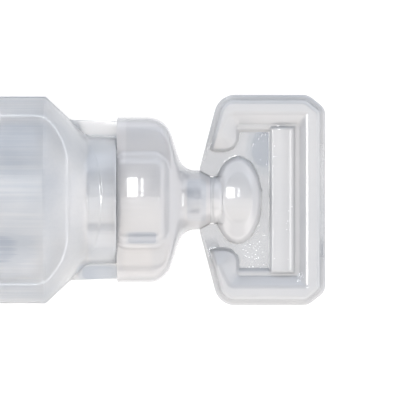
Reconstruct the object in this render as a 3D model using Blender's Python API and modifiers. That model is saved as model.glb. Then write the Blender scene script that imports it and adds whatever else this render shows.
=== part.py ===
# Saline ampoule: a blow-moulded squeeze container, its saline, and the twist-off tab that seals it.
# It lies on its back panel, with its long axis along X and the tab at +X.
# Metres, +Z up. The origin is on the resting plane, under the middle of the ampoule.

import bpy
import bmesh
from math import atan2, cos, pi, radians, sin, tan
from mathutils import Matrix

MM = 0.001

# Body of the container. Stations run along the axis from the base ring.
BODY_RADIUS = 10.2 * MM
PANEL_HEIGHT = 9.95 * MM           # axis to the flat front and back panels
PANEL_HALF_WIDTH = 2.7 * MM
BODY_LENGTH = 37.0 * MM            # base ring to the start of the shoulder
WALL = 0.6 * MM

# Base: a standing ring round a shallow recess, with the pinched seam across it.
BASE_CORNER = 1.5 * MM
BASE_RING_WIDTH = 1.5 * MM
RECESS_DEPTH = 0.9 * MM
RECESS_SLOPE = 1.2 * MM
SEAM_THICKNESS = 0.7 * MM
SEAM_LENGTH = 11.0 * MM
SEAM_HEIGHT = 0.5 * MM

# Shoulder and waist.
SHOULDER_ANGLE = radians(43)
SHOULDER_FILLET = 1.0 * MM
WAIST_RADIUS = 6.4 * MM
WAIST_FILLET = 0.9 * MM
WAIST_LENGTH = 3.05 * MM           # foot of the shoulder to the collar
WAIST_END_DROP = 1.0 * MM

# Collar, the flare down to the nozzle, and the raised pad on both faces of the collar.
COLLAR_HALF_WIDTH = 8.1 * MM
COLLAR_HALF_THICKNESS = 4.2 * MM
COLLAR_CORNER = 1.3 * MM
COLLAR_EDGE = 0.35 * MM            # rounding of its back face
COLLAR_LENGTH = 3.1 * MM           # its straight sides
FLARE_OUTER_RADIUS = 2.45 * MM
FLARE_INNER_RADIUS = 1.65 * MM
FLARE_ANGLE = radians(72)
PAD_HALF_WIDTH = 4.45 * MM
PAD_LENGTH = 5.0 * MM
PAD_RISE = 1.2 * MM
PAD_CORNER = 1.4 * MM              # its corners, seen from the front
PAD_ROUNDING = 1.0 * MM            # its edges, from its sides to its top
PAD_FALL_ALONG = 0.2 * MM          # by which its barrelled top falls to its edges
PAD_FALL_ACROSS = 0.7 * MM
PAD_INSET = 0.12 * MM              # from the collar's back face

# Nozzle. Its bore takes a 6 % Luer tip, whose end is about 4 mm across.
NOZZLE_RADIUS = 2.88 * MM
NOZZLE_LENGTH = 0.5 * MM
LIP_CONE_LENGTH = 1.0 * MM
BORE_RADIUS = 2.05 * MM
BORE_LENGTH = 2.3 * MM
LIP_THICKNESS = 0.3 * MM

# Parting line of the two mould halves: a fine ridge, which widens to a web beside the waist.
FLASH = 0.15 * MM
WEB_HALF_THICKNESS = 0.3 * MM
WEB_SETBACK = 0.25 * MM            # by which the web is narrower than the collar, on each side

# Saline.
LIQUID_LEVEL = 5.3 * MM            # above the axis, as the ampoule lies
LIQUID_CLEARANCE = 0.3 * MM

# Frangible seal between the mouth and the tab, thinnest at its middle.
SEAL_LENGTH = 0.3 * MM
SEAL_NOTCH = 0.3 * MM
SEAL_CLEARANCE = 0.1 * MM          # to the mouth on one side and the tab on the other

# Twist-off tab. Its stations run along the axis from the mouth.
TAB_LENGTH = 11.5 * MM             # mouth to the tab's far edge
TAB_MARGIN = 0.15 * MM             # by which it is wider than the body, on each side
TAB_WEB_HALF_THICKNESS = 0.35 * MM
TAB_REACH_BACK = 1.0 * MM          # how far its web runs back beside the nozzle
TAB_SHOULDER = 0.9 * MM
TAB_SHOULDER_RADIUS = 2.1 * MM
TAB_CHAMFER_LENGTH = 1.75 * MM
TAB_CHAMFER_WIDTH = 1.4 * MM
TAB_CORNER_RADIUS = 1.1 * MM
NOZZLE_CLEARANCE = 0.35 * MM       # between the nozzle and the web beside it

# Raised frame of the tab, open towards the nozzle. Inside its flat top it slopes down to a ledge.
FRAME_INSET = 0.55 * MM
FRAME_HALF_THICKNESS = 1.7 * MM
FRAME_DRAFT = 0.2 * MM             # by which its outer wall leans in
FRAME_TOP_WIDTH = 1.15 * MM        # flat top of its two side arms
FRAME_END_TOP_WIDTH = 1.05 * MM    # flat top of its far arm
FRAME_SLOPE = 1.3 * MM             # slope inside its side arms
FRAME_END_SLOPE = 0.95 * MM        # slope inside its far arm
LEDGE_WIDTH = 0.6 * MM
LEDGE_END_WIDTH = 0.45 * MM
LEDGE_HALF_THICKNESS = 0.9 * MM

# Its two round feet beside the bulb, and the tip that its flat top narrows to above each foot.
FOOT_WIDTH = 2.65 * MM
FOOT_END = 4.95 * MM               # axis to the rounded end of each foot
FOOT_ROUND_SHARE = 0.42            # its rounding as a share of its width, as much as its slant allows
TIP_START = 2.4 * MM               # slanted edge to the top's inner corner
TIP_WIDTH = 0.3 * MM
TIP_END = 6.5 * MM                 # axis to the end of the tip

# Grip rib across the tab's recess.
RIB_WIDTH = 2.35 * MM
RIB_HALF_THICKNESS = 1.15 * MM
RIB_FALL = 0.2 * MM                # by which its barrelled top falls to its sides
RIB_ROUNDING = 0.25 * MM
RIB_CORNER = 0.35 * MM
OVERLAP = 0.1 * MM                 # by which joined shapes run into each other
LEAST_ROUNDING = 0.05 * MM         # where a wall leaves less for a rounding inside it

# Oval bulb that closes the neck, and the stub that joins it to the seal.
BULB_SETBACK = 0.05 * MM           # from the face of the stub
BULB_HALF_LENGTH = 2.35 * MM
BULB_HALF_WIDTH = 4.33 * MM
BULB_SIDE_HEIGHT = 1.95 * MM
BULB_HEIGHT = 2.35 * MM
BULB_DOME_SHARE = 0.61             # radius of the dome on its top, as a share
STUB_LENGTH = 1.5 * MM

# Fineness of the facets.
CORNER_STEPS = 9
FILLET_STEPS = 3
FLARE_STEPS = 7
TURNED_STEPS = 48
OUTLINE_STEPS = 6
CROWN_RINGS = 3
SIDE_CUTS = 3

# Stations worked out from the sizes above.
SHOULDER_LENGTH = (BODY_RADIUS - WAIST_RADIUS) / tan(SHOULDER_ANGLE)
WAIST_START = BODY_LENGTH + SHOULDER_LENGTH
COLLAR_START = WAIST_START + WAIST_LENGTH
FLARE_START = COLLAR_START + COLLAR_LENGTH
FLARE_DROP = (FLARE_OUTER_RADIUS + FLARE_INNER_RADIUS) * (1 - cos(FLARE_ANGLE))
FLARE_STRAIGHT = (COLLAR_HALF_WIDTH - NOZZLE_RADIUS - FLARE_DROP) / tan(FLARE_ANGLE)
FLARE_LENGTH = (FLARE_OUTER_RADIUS + FLARE_INNER_RADIUS) * sin(FLARE_ANGLE) + FLARE_STRAIGHT
NOZZLE_START = FLARE_START + FLARE_LENGTH
MOUTH = NOZZLE_START + NOZZLE_LENGTH + LIP_CONE_LENGTH
LIP_RADIUS = BORE_RADIUS + LIP_THICKNESS
WEB_HALF_WIDTH = COLLAR_HALF_WIDTH - WEB_SETBACK
TAB_FOOT = SEAL_LENGTH + 2 * SEAL_CLEARANCE    # mouth to the tab's stub
BULB_CENTRE = TAB_FOOT + BULB_SETBACK + BULB_HALF_LENGTH
LEDGE_ARM = FRAME_INSET + FRAME_TOP_WIDTH + FRAME_SLOPE + LEDGE_WIDTH
LEDGE_END_ARM = FRAME_INSET + FRAME_END_TOP_WIDTH + FRAME_END_SLOPE + LEDGE_END_WIDTH
TAB_HALF_WIDTH = BODY_RADIUS + FLASH + TAB_MARGIN
TOTAL_LENGTH = MOUTH + TAB_LENGTH


def clear_scene():
    for old in list(bpy.data.objects):
        bpy.data.objects.remove(old)


def make_collection(name):
    collection = bpy.data.collections.new(name)
    bpy.context.scene.collection.children.link(collection)
    return collection


def plastic(name, colour, roughness, transmission):
    material = bpy.data.materials.new(name)
    material.use_nodes = True
    shader = material.node_tree.nodes["Principled BSDF"]
    shader.inputs["Base Color"].default_value = (*colour, 1.0)
    shader.inputs["Roughness"].default_value = roughness
    shader.inputs["Metallic"].default_value = 0.0
    shader.inputs["Transmission Weight"].default_value = transmission
    return material


def add_object(name, mesh, collection, station=0.0):
    """An object on the ampoule's axis, at its station along it."""
    made = bpy.data.objects.new(name, mesh)
    collection.objects.link(made)
    made.parent = axis_frame
    made.location = (station, 0.0, 0.0)
    return made


def smooth(mesh):
    mesh.shade_smooth()
    mesh.set_sharp_from_angle(angle=radians(35))


def helper(made):
    """Marks a shape that is only cut away from or joined to another."""
    made.hide_render = True
    made.display_type = "WIRE"
    return made


def boolean(target, tool, operation):
    modifier = target.modifiers.new(f"{operation.lower()} {tool.name}", "BOOLEAN")
    modifier.operation = operation
    modifier.solver = "EXACT"
    modifier.object = tool


# Loft: rings of rounded rectangles along the axis, which may turn into ovals and circles.

def section_ring(half_width, half_height, corner_width, corner_height):
    """Points (y, z) of a rectangle whose corners are quarter ellipses."""
    points = []
    for quarter in range(4):
        side_y = (1, -1, -1, 1)[quarter]
        side_z = (1, 1, -1, -1)[quarter]
        for step in range(CORNER_STEPS + 1):
            angle = pi / 2 * step / CORNER_STEPS
            if quarter % 2:
                angle = pi / 2 - angle
            y = half_width - corner_width + corner_width * cos(angle)
            z = half_height - corner_height + corner_height * sin(angle)
            points.append((side_y * y, side_z * z))
    return points


def loft(name, sections, collection):
    """A closed skin through (station, half width, half height, corner width, corner height)."""
    work = bmesh.new()
    rings = []
    for station, *shape in sections:
        rings.append([work.verts.new((station, y, z)) for y, z in section_ring(*shape)])
    count = len(rings[0])
    for near, far in zip(rings, rings[1:]):
        for i in range(count):
            j = (i + 1) % count
            work.faces.new((near[i], near[j], far[j], far[i]))
    work.faces.new(list(reversed(rings[0])))
    work.faces.new(rings[-1])
    bmesh.ops.remove_doubles(work, verts=work.verts, dist=1e-7)
    bmesh.ops.recalc_face_normals(work, faces=work.faces)
    mesh = bpy.data.meshes.new(name)
    work.to_mesh(mesh)
    work.free()
    smooth(mesh)
    return add_object(name, mesh, collection)


def body_shape(radius, inset=0.0):
    """Section of the round body with its flat panels, or of what lies inside it."""
    half_height = radius * PANEL_HEIGHT / BODY_RADIUS - inset
    flat = PANEL_HALF_WIDTH * radius / BODY_RADIUS
    half_width = radius - inset
    return half_width, half_height, half_width - flat, half_height


def collar_shape(half_width, inset=0.0):
    """Section of the collar, which turns round as it narrows to the nozzle."""
    share = (half_width - NOZZLE_RADIUS) / (COLLAR_HALF_WIDTH - NOZZLE_RADIUS)
    half_height = NOZZLE_RADIUS + share * (COLLAR_HALF_THICKNESS - NOZZLE_RADIUS)
    corner = COLLAR_CORNER + (1 - share) * (NOZZLE_RADIUS - COLLAR_CORNER)
    wide = half_width - inset
    high = half_height - inset
    return wide, high, min(corner, wide), min(corner, high)


def flare_sections(inset=0.0):
    """Down the flare from the collar to the nozzle. Each ring moves in by the wall, along its slope."""
    outline = []
    for step in range(FLARE_STEPS + 1):
        angle = FLARE_ANGLE * step / FLARE_STEPS
        station = FLARE_START + FLARE_OUTER_RADIUS * sin(angle)
        outline.append((angle, station, COLLAR_HALF_WIDTH - FLARE_OUTER_RADIUS * (1 - cos(angle))))
    for step in range(FLARE_STEPS + 1):
        angle = FLARE_ANGLE * (1 - step / FLARE_STEPS)
        station = NOZZLE_START - FLARE_INNER_RADIUS * sin(angle)
        outline.append((angle, station, NOZZLE_RADIUS + FLARE_INNER_RADIUS * (1 - cos(angle))))
    return [
        (station - inset * tan(angle / 2), *collar_shape(half_width, inset))
        for angle, station, half_width in outline
    ]


def base_sections(inset):
    """From the middle of the recess, over the base ring, round to the side of the body."""
    ring_outer = BODY_RADIUS - BASE_CORNER
    ring_inner = ring_outer - BASE_RING_WIDTH
    recess_radius = ring_inner - RECESS_SLOPE
    sections = [
        (RECESS_DEPTH + inset, *body_shape(recess_radius + inset)),
        (inset, *body_shape(ring_inner + inset)),
        (inset, *body_shape(ring_outer)),
    ]
    corner = BASE_CORNER - inset
    for step in range(1, FILLET_STEPS + 2):
        angle = pi / 2 * step / (FILLET_STEPS + 1)
        radius = ring_outer + corner * sin(angle) + inset
        sections.append((inset + corner * (1 - cos(angle)), *body_shape(radius, inset)))
    return sections


def shoulder_sections(inset):
    """The rounded start of the shoulder, its slope, and the rounded start of the waist."""
    sections = []
    reach = SHOULDER_FILLET * tan(SHOULDER_ANGLE / 2)
    for step in range(FILLET_STEPS + 1):
        angle = SHOULDER_ANGLE * step / FILLET_STEPS
        radius = BODY_RADIUS - SHOULDER_FILLET * (1 - cos(angle))
        station = BODY_LENGTH - reach + SHOULDER_FILLET * sin(angle)
        sections.append((station - inset * tan(angle / 2), *body_shape(radius, inset)))
    reach = WAIST_FILLET * tan(SHOULDER_ANGLE / 2)
    for step in range(FILLET_STEPS + 1):
        angle = SHOULDER_ANGLE * (1 - step / FILLET_STEPS)
        radius = WAIST_RADIUS + WAIST_FILLET * (1 - cos(angle))
        station = WAIST_START + reach - WAIST_FILLET * sin(angle)
        sections.append((station - inset * tan(angle / 2), *body_shape(radius, inset)))
    return sections


def waist_end_sections(inset):
    """The waist's rounded end, where it runs into the collar."""
    sections = []
    for step in range(FILLET_STEPS + 1):
        angle = pi / 2 * step / FILLET_STEPS
        radius = WAIST_RADIUS - WAIST_END_DROP * (1 - cos(angle))
        station = COLLAR_START + OVERLAP - WAIST_END_DROP * (1 - sin(angle))
        sections.append((station, *body_shape(radius, inset)))
    return sections


def outer_skin(collection):
    """The body, shoulder and waist, and then the collar, flare and nozzle."""
    sections = base_sections(0.0) + shoulder_sections(0.0) + waist_end_sections(0.0)
    body = loft("container_shell", sections, collection)
    edge = COLLAR_EDGE
    sections = [
        (COLLAR_START, *collar_shape(COLLAR_HALF_WIDTH, edge)),
        (COLLAR_START + edge * 0.3, *collar_shape(COLLAR_HALF_WIDTH, edge * 0.3)),
        (COLLAR_START + edge, *collar_shape(COLLAR_HALF_WIDTH)),
    ]
    sections += flare_sections()
    nozzle = (NOZZLE_RADIUS,) * 4
    lip = (LIP_RADIUS,) * 4
    sections += [(NOZZLE_START + NOZZLE_LENGTH, *nozzle), (MOUTH, *lip)]
    collar = helper(loft("collar_and_nozzle", sections, helpers))
    return body, collar


def inner_skin(name, inset, collection, last_station):
    """The hollow inside the walls, or the liquid in it, from the base to the mouth."""
    sections = base_sections(inset) + shoulder_sections(inset)
    wide, high, wide_corner, high_corner = body_shape(WAIST_RADIUS, inset)
    collar_high = COLLAR_HALF_THICKNESS - inset
    passage = (wide, collar_high, wide_corner, collar_high)
    sections.append((COLLAR_START - inset - OVERLAP, wide, high, wide_corner, high_corner))
    sections.append((COLLAR_START - inset, *passage))
    sections.append((COLLAR_START + inset - OVERLAP, *passage))
    sections.append((COLLAR_START + inset, *collar_shape(COLLAR_HALF_WIDTH, inset)))
    bore = BORE_RADIUS - (inset - WALL)
    bore_start = MOUTH - BORE_LENGTH
    for station, *shape in flare_sections(inset):
        if station < bore_start and min(shape[:2]) > bore:
            sections.append((station, *shape))
    sections.append((bore_start, *(bore,) * 4))
    sections.append((last_station, *(bore,) * 4))
    return loft(name, sections, collection)


# Flat outlines, which become plates of even thickness.

def rounded_outline(corners):
    """Points (x, y) round a polygon of (x, y, radius) corners, with an arc at each radius."""
    points = []
    count = len(corners)
    for i, (x, y, radius) in enumerate(corners):
        if radius == 0:
            points.append((x, y))
            continue
        before = corners[i - 1]
        after = corners[(i + 1) % count]
        angle_in = atan2(y - before[1], x - before[0])
        angle_out = atan2(after[1] - y, after[0] - x)
        turn = (angle_out - angle_in + pi) % (2 * pi) - pi
        reach = radius * tan(abs(turn) / 2)
        side = 1 if turn > 0 else -1
        start_x = x - reach * cos(angle_in)
        start_y = y - reach * sin(angle_in)
        centre_x = start_x - side * radius * sin(angle_in)
        centre_y = start_y + side * radius * cos(angle_in)
        for step in range(OUTLINE_STEPS + 1):
            angle = angle_in + turn * step / OUTLINE_STEPS
            points.append((
                centre_x + side * radius * sin(angle),
                centre_y - side * radius * cos(angle),
            ))
    return points


def mirrored(corners):
    """The corners at +Y, and the same corners at -Y in the reverse order."""
    return corners + [(x, -y, radius) for x, y, radius in reversed(corners)]


def plate(name, corners, half_thickness, collection, station=0.0):
    """A flat outline, thickened both ways from the parting plane."""
    curve = bpy.data.curves.new(name, "CURVE")
    curve.dimensions = "2D"
    curve.fill_mode = "BOTH"
    curve.extrude = half_thickness
    points = rounded_outline(corners)
    spline = curve.splines.new("POLY")
    spline.points.add(len(points) - 1)
    for point, (x, y) in zip(spline.points, points):
        point.co = (x, y, 0.0, 1.0)
    spline.use_cyclic_u = True
    drawn = bpy.data.objects.new(name + "_outline", curve)
    bpy.context.scene.collection.objects.link(drawn)
    graph = bpy.context.evaluated_depsgraph_get()
    mesh = bpy.data.meshes.new_from_object(drawn.evaluated_get(graph))
    bpy.data.objects.remove(drawn)
    work = bmesh.new()
    work.from_mesh(mesh)
    bmesh.ops.remove_doubles(work, verts=work.verts, dist=1e-7)
    bmesh.ops.recalc_face_normals(work, faces=work.faces)
    work.to_mesh(mesh)
    work.free()
    return add_object(name, mesh, collection, station)


def block(name, size, centre, collection, station=0.0):
    """A box of the given size, centred at a point along the axis."""
    work = bmesh.new()
    bmesh.ops.create_cube(work, size=1.0)
    bmesh.ops.scale(work, vec=size, verts=work.verts)
    bmesh.ops.translate(work, vec=centre, verts=work.verts)
    mesh = bpy.data.meshes.new(name)
    work.to_mesh(mesh)
    work.free()
    return add_object(name, mesh, collection, station)


def pillow_ring(half_x, half_y, corner):
    """Points (x, y) of a rectangle with round corners, with a few along its sides as well."""
    arcs = []
    for quarter in range(4):
        side_x = (1, -1, -1, 1)[quarter]
        side_y = (1, 1, -1, -1)[quarter]
        for step in range(FILLET_STEPS + 1):
            angle = pi / 2 * (quarter + step / FILLET_STEPS)
            x = side_x * (half_x - corner) + corner * cos(angle)
            y = side_y * (half_y - corner) + corner * sin(angle)
            arcs.append((x, y))
    points = []
    for i, (x, y) in enumerate(arcs):
        points.append((x, y))
        if i % (FILLET_STEPS + 1) == FILLET_STEPS:
            next_x, next_y = arcs[(i + 1) % len(arcs)]
            for cut in range(1, SIDE_CUTS + 1):
                share = cut / (SIDE_CUTS + 1)
                points.append((x + (next_x - x) * share, y + (next_y - y) * share))
    return points


def crowned_block(name, size, centre, corner, rounding, falls, collection, station=0.0):
    """A box with round corners and edges. Its barrelled top and bottom fall to its edges by falls."""
    half_x, half_y, half_z = (length / 2 for length in size)
    levels = [(ring / CROWN_RINGS, rounding, 0.0) for ring in range(1, CROWN_RINGS + 1)]
    for step in range(1, FILLET_STEPS + 1):
        angle = pi / 2 * step / FILLET_STEPS
        levels.append((1.0, rounding * (1 - sin(angle)), rounding * (1 - cos(angle))))
    work = bmesh.new()
    rings = []
    for side, order in ((1, levels), (-1, levels[::-1])):
        for share, inset, drop in order:
            ring = []
            for x, y in pillow_ring(half_x - inset, half_y - inset, corner - inset):
                x *= share
                y *= share
                z = half_z - falls[0] * (x / half_x) ** 2 - falls[1] * (y / half_y) ** 2 - drop
                ring.append(work.verts.new((centre[0] + x, centre[1] + y, centre[2] + side * z)))
            rings.append(ring)
    count = len(rings[0])
    for near, far in zip(rings, rings[1:]):
        for i in range(count):
            j = (i + 1) % count
            work.faces.new((near[i], near[j], far[j], far[i]))
    for side, ring in ((1, rings[0]), (-1, rings[-1])):
        pole = work.verts.new((centre[0], centre[1], centre[2] + side * half_z))
        for i in range(count):
            work.faces.new((ring[i], ring[(i + 1) % count], pole))
    bmesh.ops.recalc_face_normals(work, faces=work.faces)
    mesh = bpy.data.meshes.new(name)
    work.to_mesh(mesh)
    work.free()
    return add_object(name, mesh, collection, station)


def stacked_plate(name, levels, collection, station=0.0):
    """A plate with sloping sides, through (corners, height) levels from its bottom to its top."""
    work = bmesh.new()
    rings = []
    for corners, height in levels:
        rings.append([work.verts.new((x, y, height)) for x, y in rounded_outline(corners)])
    count = len(rings[0])
    for low, high in zip(rings, rings[1:]):
        for i in range(count):
            j = (i + 1) % count
            work.faces.new((low[i], low[j], high[j], high[i]))
    work.faces.new(list(reversed(rings[0])))
    work.faces.new(rings[-1])
    bmesh.ops.recalc_face_normals(work, faces=work.faces)
    mesh = bpy.data.meshes.new(name)
    work.to_mesh(mesh)
    work.free()
    return add_object(name, mesh, collection, station)


def turned(name, profile, turn, collection, station=0.0):
    """A profile of (radius, height) points, top to bottom, turned round Z and then laid by turn."""
    mesh = bpy.data.meshes.new(name + "_profile")
    points = [(radius, 0.0, height) for radius, height in profile]
    mesh.from_pydata(points, [(i, i + 1) for i in range(len(points) - 1)], [])
    spun = bpy.data.objects.new(name + "_profile", mesh)
    bpy.context.scene.collection.objects.link(spun)
    screw = spun.modifiers.new("turn", "SCREW")
    screw.steps = TURNED_STEPS
    screw.render_steps = TURNED_STEPS
    screw.use_merge_vertices = True
    screw.merge_threshold = 1e-6
    graph = bpy.context.evaluated_depsgraph_get()
    solid = bpy.data.meshes.new_from_object(spun.evaluated_get(graph))
    bpy.data.objects.remove(spun)
    solid.transform(turn)
    smooth(solid)
    return add_object(name, solid, collection, station)


def parting_web(collection):
    """The ridge where the mould halves meet, and the web that it widens to beside the waist."""
    side = BODY_RADIUS + FLASH
    web_start = BODY_LENGTH + (BODY_RADIUS - WEB_HALF_WIDTH) / tan(SHOULDER_ANGLE)
    corners = [
        (BASE_CORNER, side, 0.0),
        (BODY_LENGTH, side, SHOULDER_FILLET),
        (web_start, WEB_HALF_WIDTH + FLASH, WAIST_FILLET),
        (COLLAR_START + OVERLAP, WEB_HALF_WIDTH, 0.0),
        (FLARE_START, WEB_HALF_WIDTH, 0.0),
    ]
    corners = [(x, -y, radius) for x, y, radius in corners]
    corners += [(x, -y, radius) for x, y, radius in reversed(corners)]
    return helper(plate("parting_web", corners, WEB_HALF_THICKNESS, collection))


def collar_pad(name, inset, collection):
    """The raised pad on both faces of the collar, or the hollow inside it."""
    height = 2 * (COLLAR_HALF_THICKNESS + PAD_RISE - inset)
    length = PAD_LENGTH - 2 * inset
    centre = COLLAR_START + PAD_INSET + PAD_LENGTH / 2
    size = (length, 2 * (PAD_HALF_WIDTH - inset), height)
    rounding = max(PAD_ROUNDING - inset, LEAST_ROUNDING)
    corner = rounding + PAD_CORNER - PAD_ROUNDING
    falls = (PAD_FALL_ALONG, PAD_FALL_ACROSS)
    return helper(crowned_block(name, size, (centre, 0.0, 0.0), corner, rounding, falls, collection))


def base_seam(collection):
    """The pinched seam across the recess, lower than the base ring."""
    length = SEAM_HEIGHT + OVERLAP
    start = RECESS_DEPTH - SEAM_HEIGHT
    size = (length, SEAM_LENGTH, SEAM_THICKNESS)
    return helper(block("base_seam", size, (start + length / 2, 0.0, 0.0), collection))


def container(collection, material):
    shell, collar = outer_skin(collection)
    boolean(shell, collar, "UNION")
    boolean(shell, parting_web(helpers), "UNION")
    boolean(shell, collar_pad("collar_pad", 0.0, helpers), "UNION")
    boolean(shell, base_seam(helpers), "UNION")
    hollow = helper(inner_skin("hollow", WALL, helpers, MOUTH + OVERLAP))
    boolean(hollow, collar_pad("pad_hollow", WALL, helpers), "UNION")
    boolean(shell, hollow, "DIFFERENCE")
    shell.data.materials.append(material)
    return shell


def saline(collection, material):
    """The liquid, level at its top as the ampoule lies, with the headspace above it."""
    inset = WALL + LIQUID_CLEARANCE
    liquid = inner_skin("saline_fill", inset, collection, MOUTH - LIQUID_CLEARANCE)
    boolean(liquid, collar_pad("pad_liquid", inset, helpers), "UNION")
    depth = BODY_RADIUS
    size = (2 * TOTAL_LENGTH, 4 * BODY_RADIUS, depth)
    centre = (TOTAL_LENGTH / 2, 0.0, LIQUID_LEVEL + depth / 2)
    boolean(liquid, helper(block("headspace", size, centre, helpers)), "DIFFERENCE")
    liquid.data.materials.append(material)
    return liquid


def seal(collection, material):
    """A disc across the mouth, notched round its rim so that it tears there."""
    along_axis = Matrix.Rotation(pi / 2, 4, "Y")
    profile = [
        (0.0, SEAL_LENGTH),
        (LIP_RADIUS, SEAL_LENGTH),
        (LIP_RADIUS - SEAL_NOTCH, SEAL_LENGTH / 2),
        (LIP_RADIUS, 0.0),
        (0.0, 0.0),
    ]
    disc = turned("frangible_seal", profile, along_axis, collection, MOUTH + SEAL_CLEARANCE)
    disc.data.materials.append(material)
    return disc


def tab_outline():
    """The tab's edge, from the notch beside the nozzle to the far corners."""
    notch = LIP_RADIUS + NOZZLE_CLEARANCE
    stub_side = LIP_RADIUS * 0.6
    return mirrored([
        (TAB_FOOT + OVERLAP, stub_side, 0.0),
        (TAB_FOOT + OVERLAP, notch, 0.0),
        (0.0, notch, 0.0),
        (-TAB_REACH_BACK, NOZZLE_RADIUS + NOZZLE_CLEARANCE, 0.0),
        (TAB_SHOULDER, TAB_HALF_WIDTH, TAB_SHOULDER_RADIUS),
        (TAB_LENGTH - TAB_CHAMFER_LENGTH, TAB_HALF_WIDTH, TAB_CORNER_RADIUS),
        (TAB_LENGTH, TAB_HALF_WIDTH - TAB_CHAMFER_WIDTH, TAB_CORNER_RADIUS),
    ])


def edge_at(y):
    """Where the tab's slanted side edge is, at a distance from the axis."""
    foot = NOZZLE_RADIUS + NOZZLE_CLEARANCE
    share = (y - foot) / (TAB_HALF_WIDTH - foot)
    return -TAB_REACH_BACK + share * (TAB_SHOULDER + TAB_REACH_BACK)


def frame_outline(outer_inset, arm, end_arm, foot):
    """One level of the raised frame, which follows the tab's edge and is open towards the nozzle.

    arm and end_arm are its widths from the tab's edge, and foot is the corners round its foot.
    """
    outer = TAB_HALF_WIDTH - outer_inset
    corner = outer_inset * tan(radians(22.5))
    return mirrored([
        (TAB_LENGTH - end_arm, TAB_HALF_WIDTH - arm, OVERLAP),
        *foot,
        (edge_at(outer) + outer_inset, outer, TAB_SHOULDER_RADIUS - outer_inset),
        (TAB_LENGTH - TAB_CHAMFER_LENGTH - corner, outer, TAB_CORNER_RADIUS - corner),
        (TAB_LENGTH - outer_inset, TAB_HALF_WIDTH - TAB_CHAMFER_WIDTH - corner, TAB_CORNER_RADIUS - corner),
    ])


def foot_corners(arm, outer_inset, inset):
    """Corners of a foot with a round end, drawn in by inset."""
    edge = edge_at(FOOT_END)
    inner = edge + FRAME_INSET + FOOT_WIDTH - inset
    outer = edge + outer_inset + inset
    end = FOOT_END + inset
    rounding = (inner - outer) * FOOT_ROUND_SHARE
    return [(inner, TAB_HALF_WIDTH - arm, 2 * OVERLAP), (inner, end, rounding), (outer, end, rounding)]


def ledge_levels():
    """The ledge, a plate that ends under the frame's slope everywhere but inside its arms."""
    outer_inset = FRAME_INSET + OVERLAP
    foot = foot_corners(LEDGE_ARM, outer_inset, OVERLAP)
    corners = frame_outline(outer_inset, LEDGE_ARM, LEDGE_END_ARM, foot)
    return [(corners, -LEDGE_HALF_THICKNESS), (corners, LEDGE_HALF_THICKNESS)]


def frame_levels():
    """The frame: upright walls to just under the ledge's top, and then its slope to its flat top."""
    rise = FRAME_HALF_THICKNESS - LEDGE_HALF_THICKNESS
    low_height = LEDGE_HALF_THICKNESS - OVERLAP
    top_arm = FRAME_INSET + FRAME_TOP_WIDTH
    top_end_arm = FRAME_INSET + FRAME_END_TOP_WIDTH
    low_arm = top_arm + FRAME_SLOPE * (1 + OVERLAP / rise)
    low_end_arm = top_end_arm + FRAME_END_SLOPE * (1 + OVERLAP / rise)
    low = frame_outline(FRAME_INSET, low_arm, low_end_arm, foot_corners(low_arm, FRAME_INSET, 0.0))
    top_inset = FRAME_INSET + FRAME_DRAFT
    tip_edge = edge_at(TIP_END) + top_inset
    tip = [
        (edge_at(TAB_HALF_WIDTH - top_arm) + TIP_START, TAB_HALF_WIDTH - top_arm, 4 * OVERLAP),
        (tip_edge + TIP_WIDTH, TIP_END, TIP_WIDTH / 3),
        (tip_edge, TIP_END, TIP_WIDTH / 3),
    ]
    top = frame_outline(top_inset, top_arm, top_end_arm, tip)
    return [
        (top, -FRAME_HALF_THICKNESS), (low, -low_height), (low, low_height), (top, FRAME_HALF_THICKNESS),
    ]


def bulb(collection, station):
    """The oval bulb: a rounded disc with a low dome on its top, on both faces."""
    dome = BULB_HEIGHT - BULB_SIDE_HEIGHT
    profile = [
        (0.0, BULB_HEIGHT),
        (BULB_DOME_SHARE * 0.5, BULB_HEIGHT - dome * 0.2),
        (BULB_DOME_SHARE * 0.94, BULB_HEIGHT - dome * 0.7),
        (BULB_DOME_SHARE, BULB_SIDE_HEIGHT * 0.96),
        (0.78, BULB_SIDE_HEIGHT * 0.9),
        (0.88, BULB_SIDE_HEIGHT * 0.8),
        (0.95, BULB_SIDE_HEIGHT * 0.6),
        (0.99, BULB_SIDE_HEIGHT * 0.35),
        (1.0, TAB_WEB_HALF_THICKNESS * 0.5),
    ]
    profile += [(radius, -height) for radius, height in reversed(profile)]
    shape = Matrix.Translation((BULB_CENTRE, 0.0, 0.0))
    shape @= Matrix.Diagonal((BULB_HALF_LENGTH, BULB_HALF_WIDTH, 1.0, 1.0))
    return helper(turned("bulb", profile, shape, collection, station))


def stub(collection, station):
    """The short round stub between the seal and the bulb."""
    along_axis = Matrix.Rotation(pi / 2, 4, "Y")
    profile = [
        (0.0, TAB_FOOT + STUB_LENGTH),
        (LIP_RADIUS * 0.9, TAB_FOOT + STUB_LENGTH),
        (LIP_RADIUS, TAB_FOOT),
        (0.0, TAB_FOOT),
    ]
    return helper(turned("stub", profile, along_axis, collection, station))


def grip_rib(collection, station):
    """The rib across the recess, against the ledge of the far arm."""
    half_length = TAB_HALF_WIDTH - LEDGE_ARM + RIB_CORNER + OVERLAP
    size = (RIB_WIDTH + OVERLAP, 2 * half_length, 2 * RIB_HALF_THICKNESS)
    centre = (TAB_LENGTH - LEDGE_END_ARM + OVERLAP - size[0] / 2, 0.0, 0.0)
    falls = (RIB_FALL, 0.0)
    rib = crowned_block("grip_rib", size, centre, RIB_CORNER, RIB_ROUNDING, falls, collection, station)
    return helper(rib)


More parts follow.
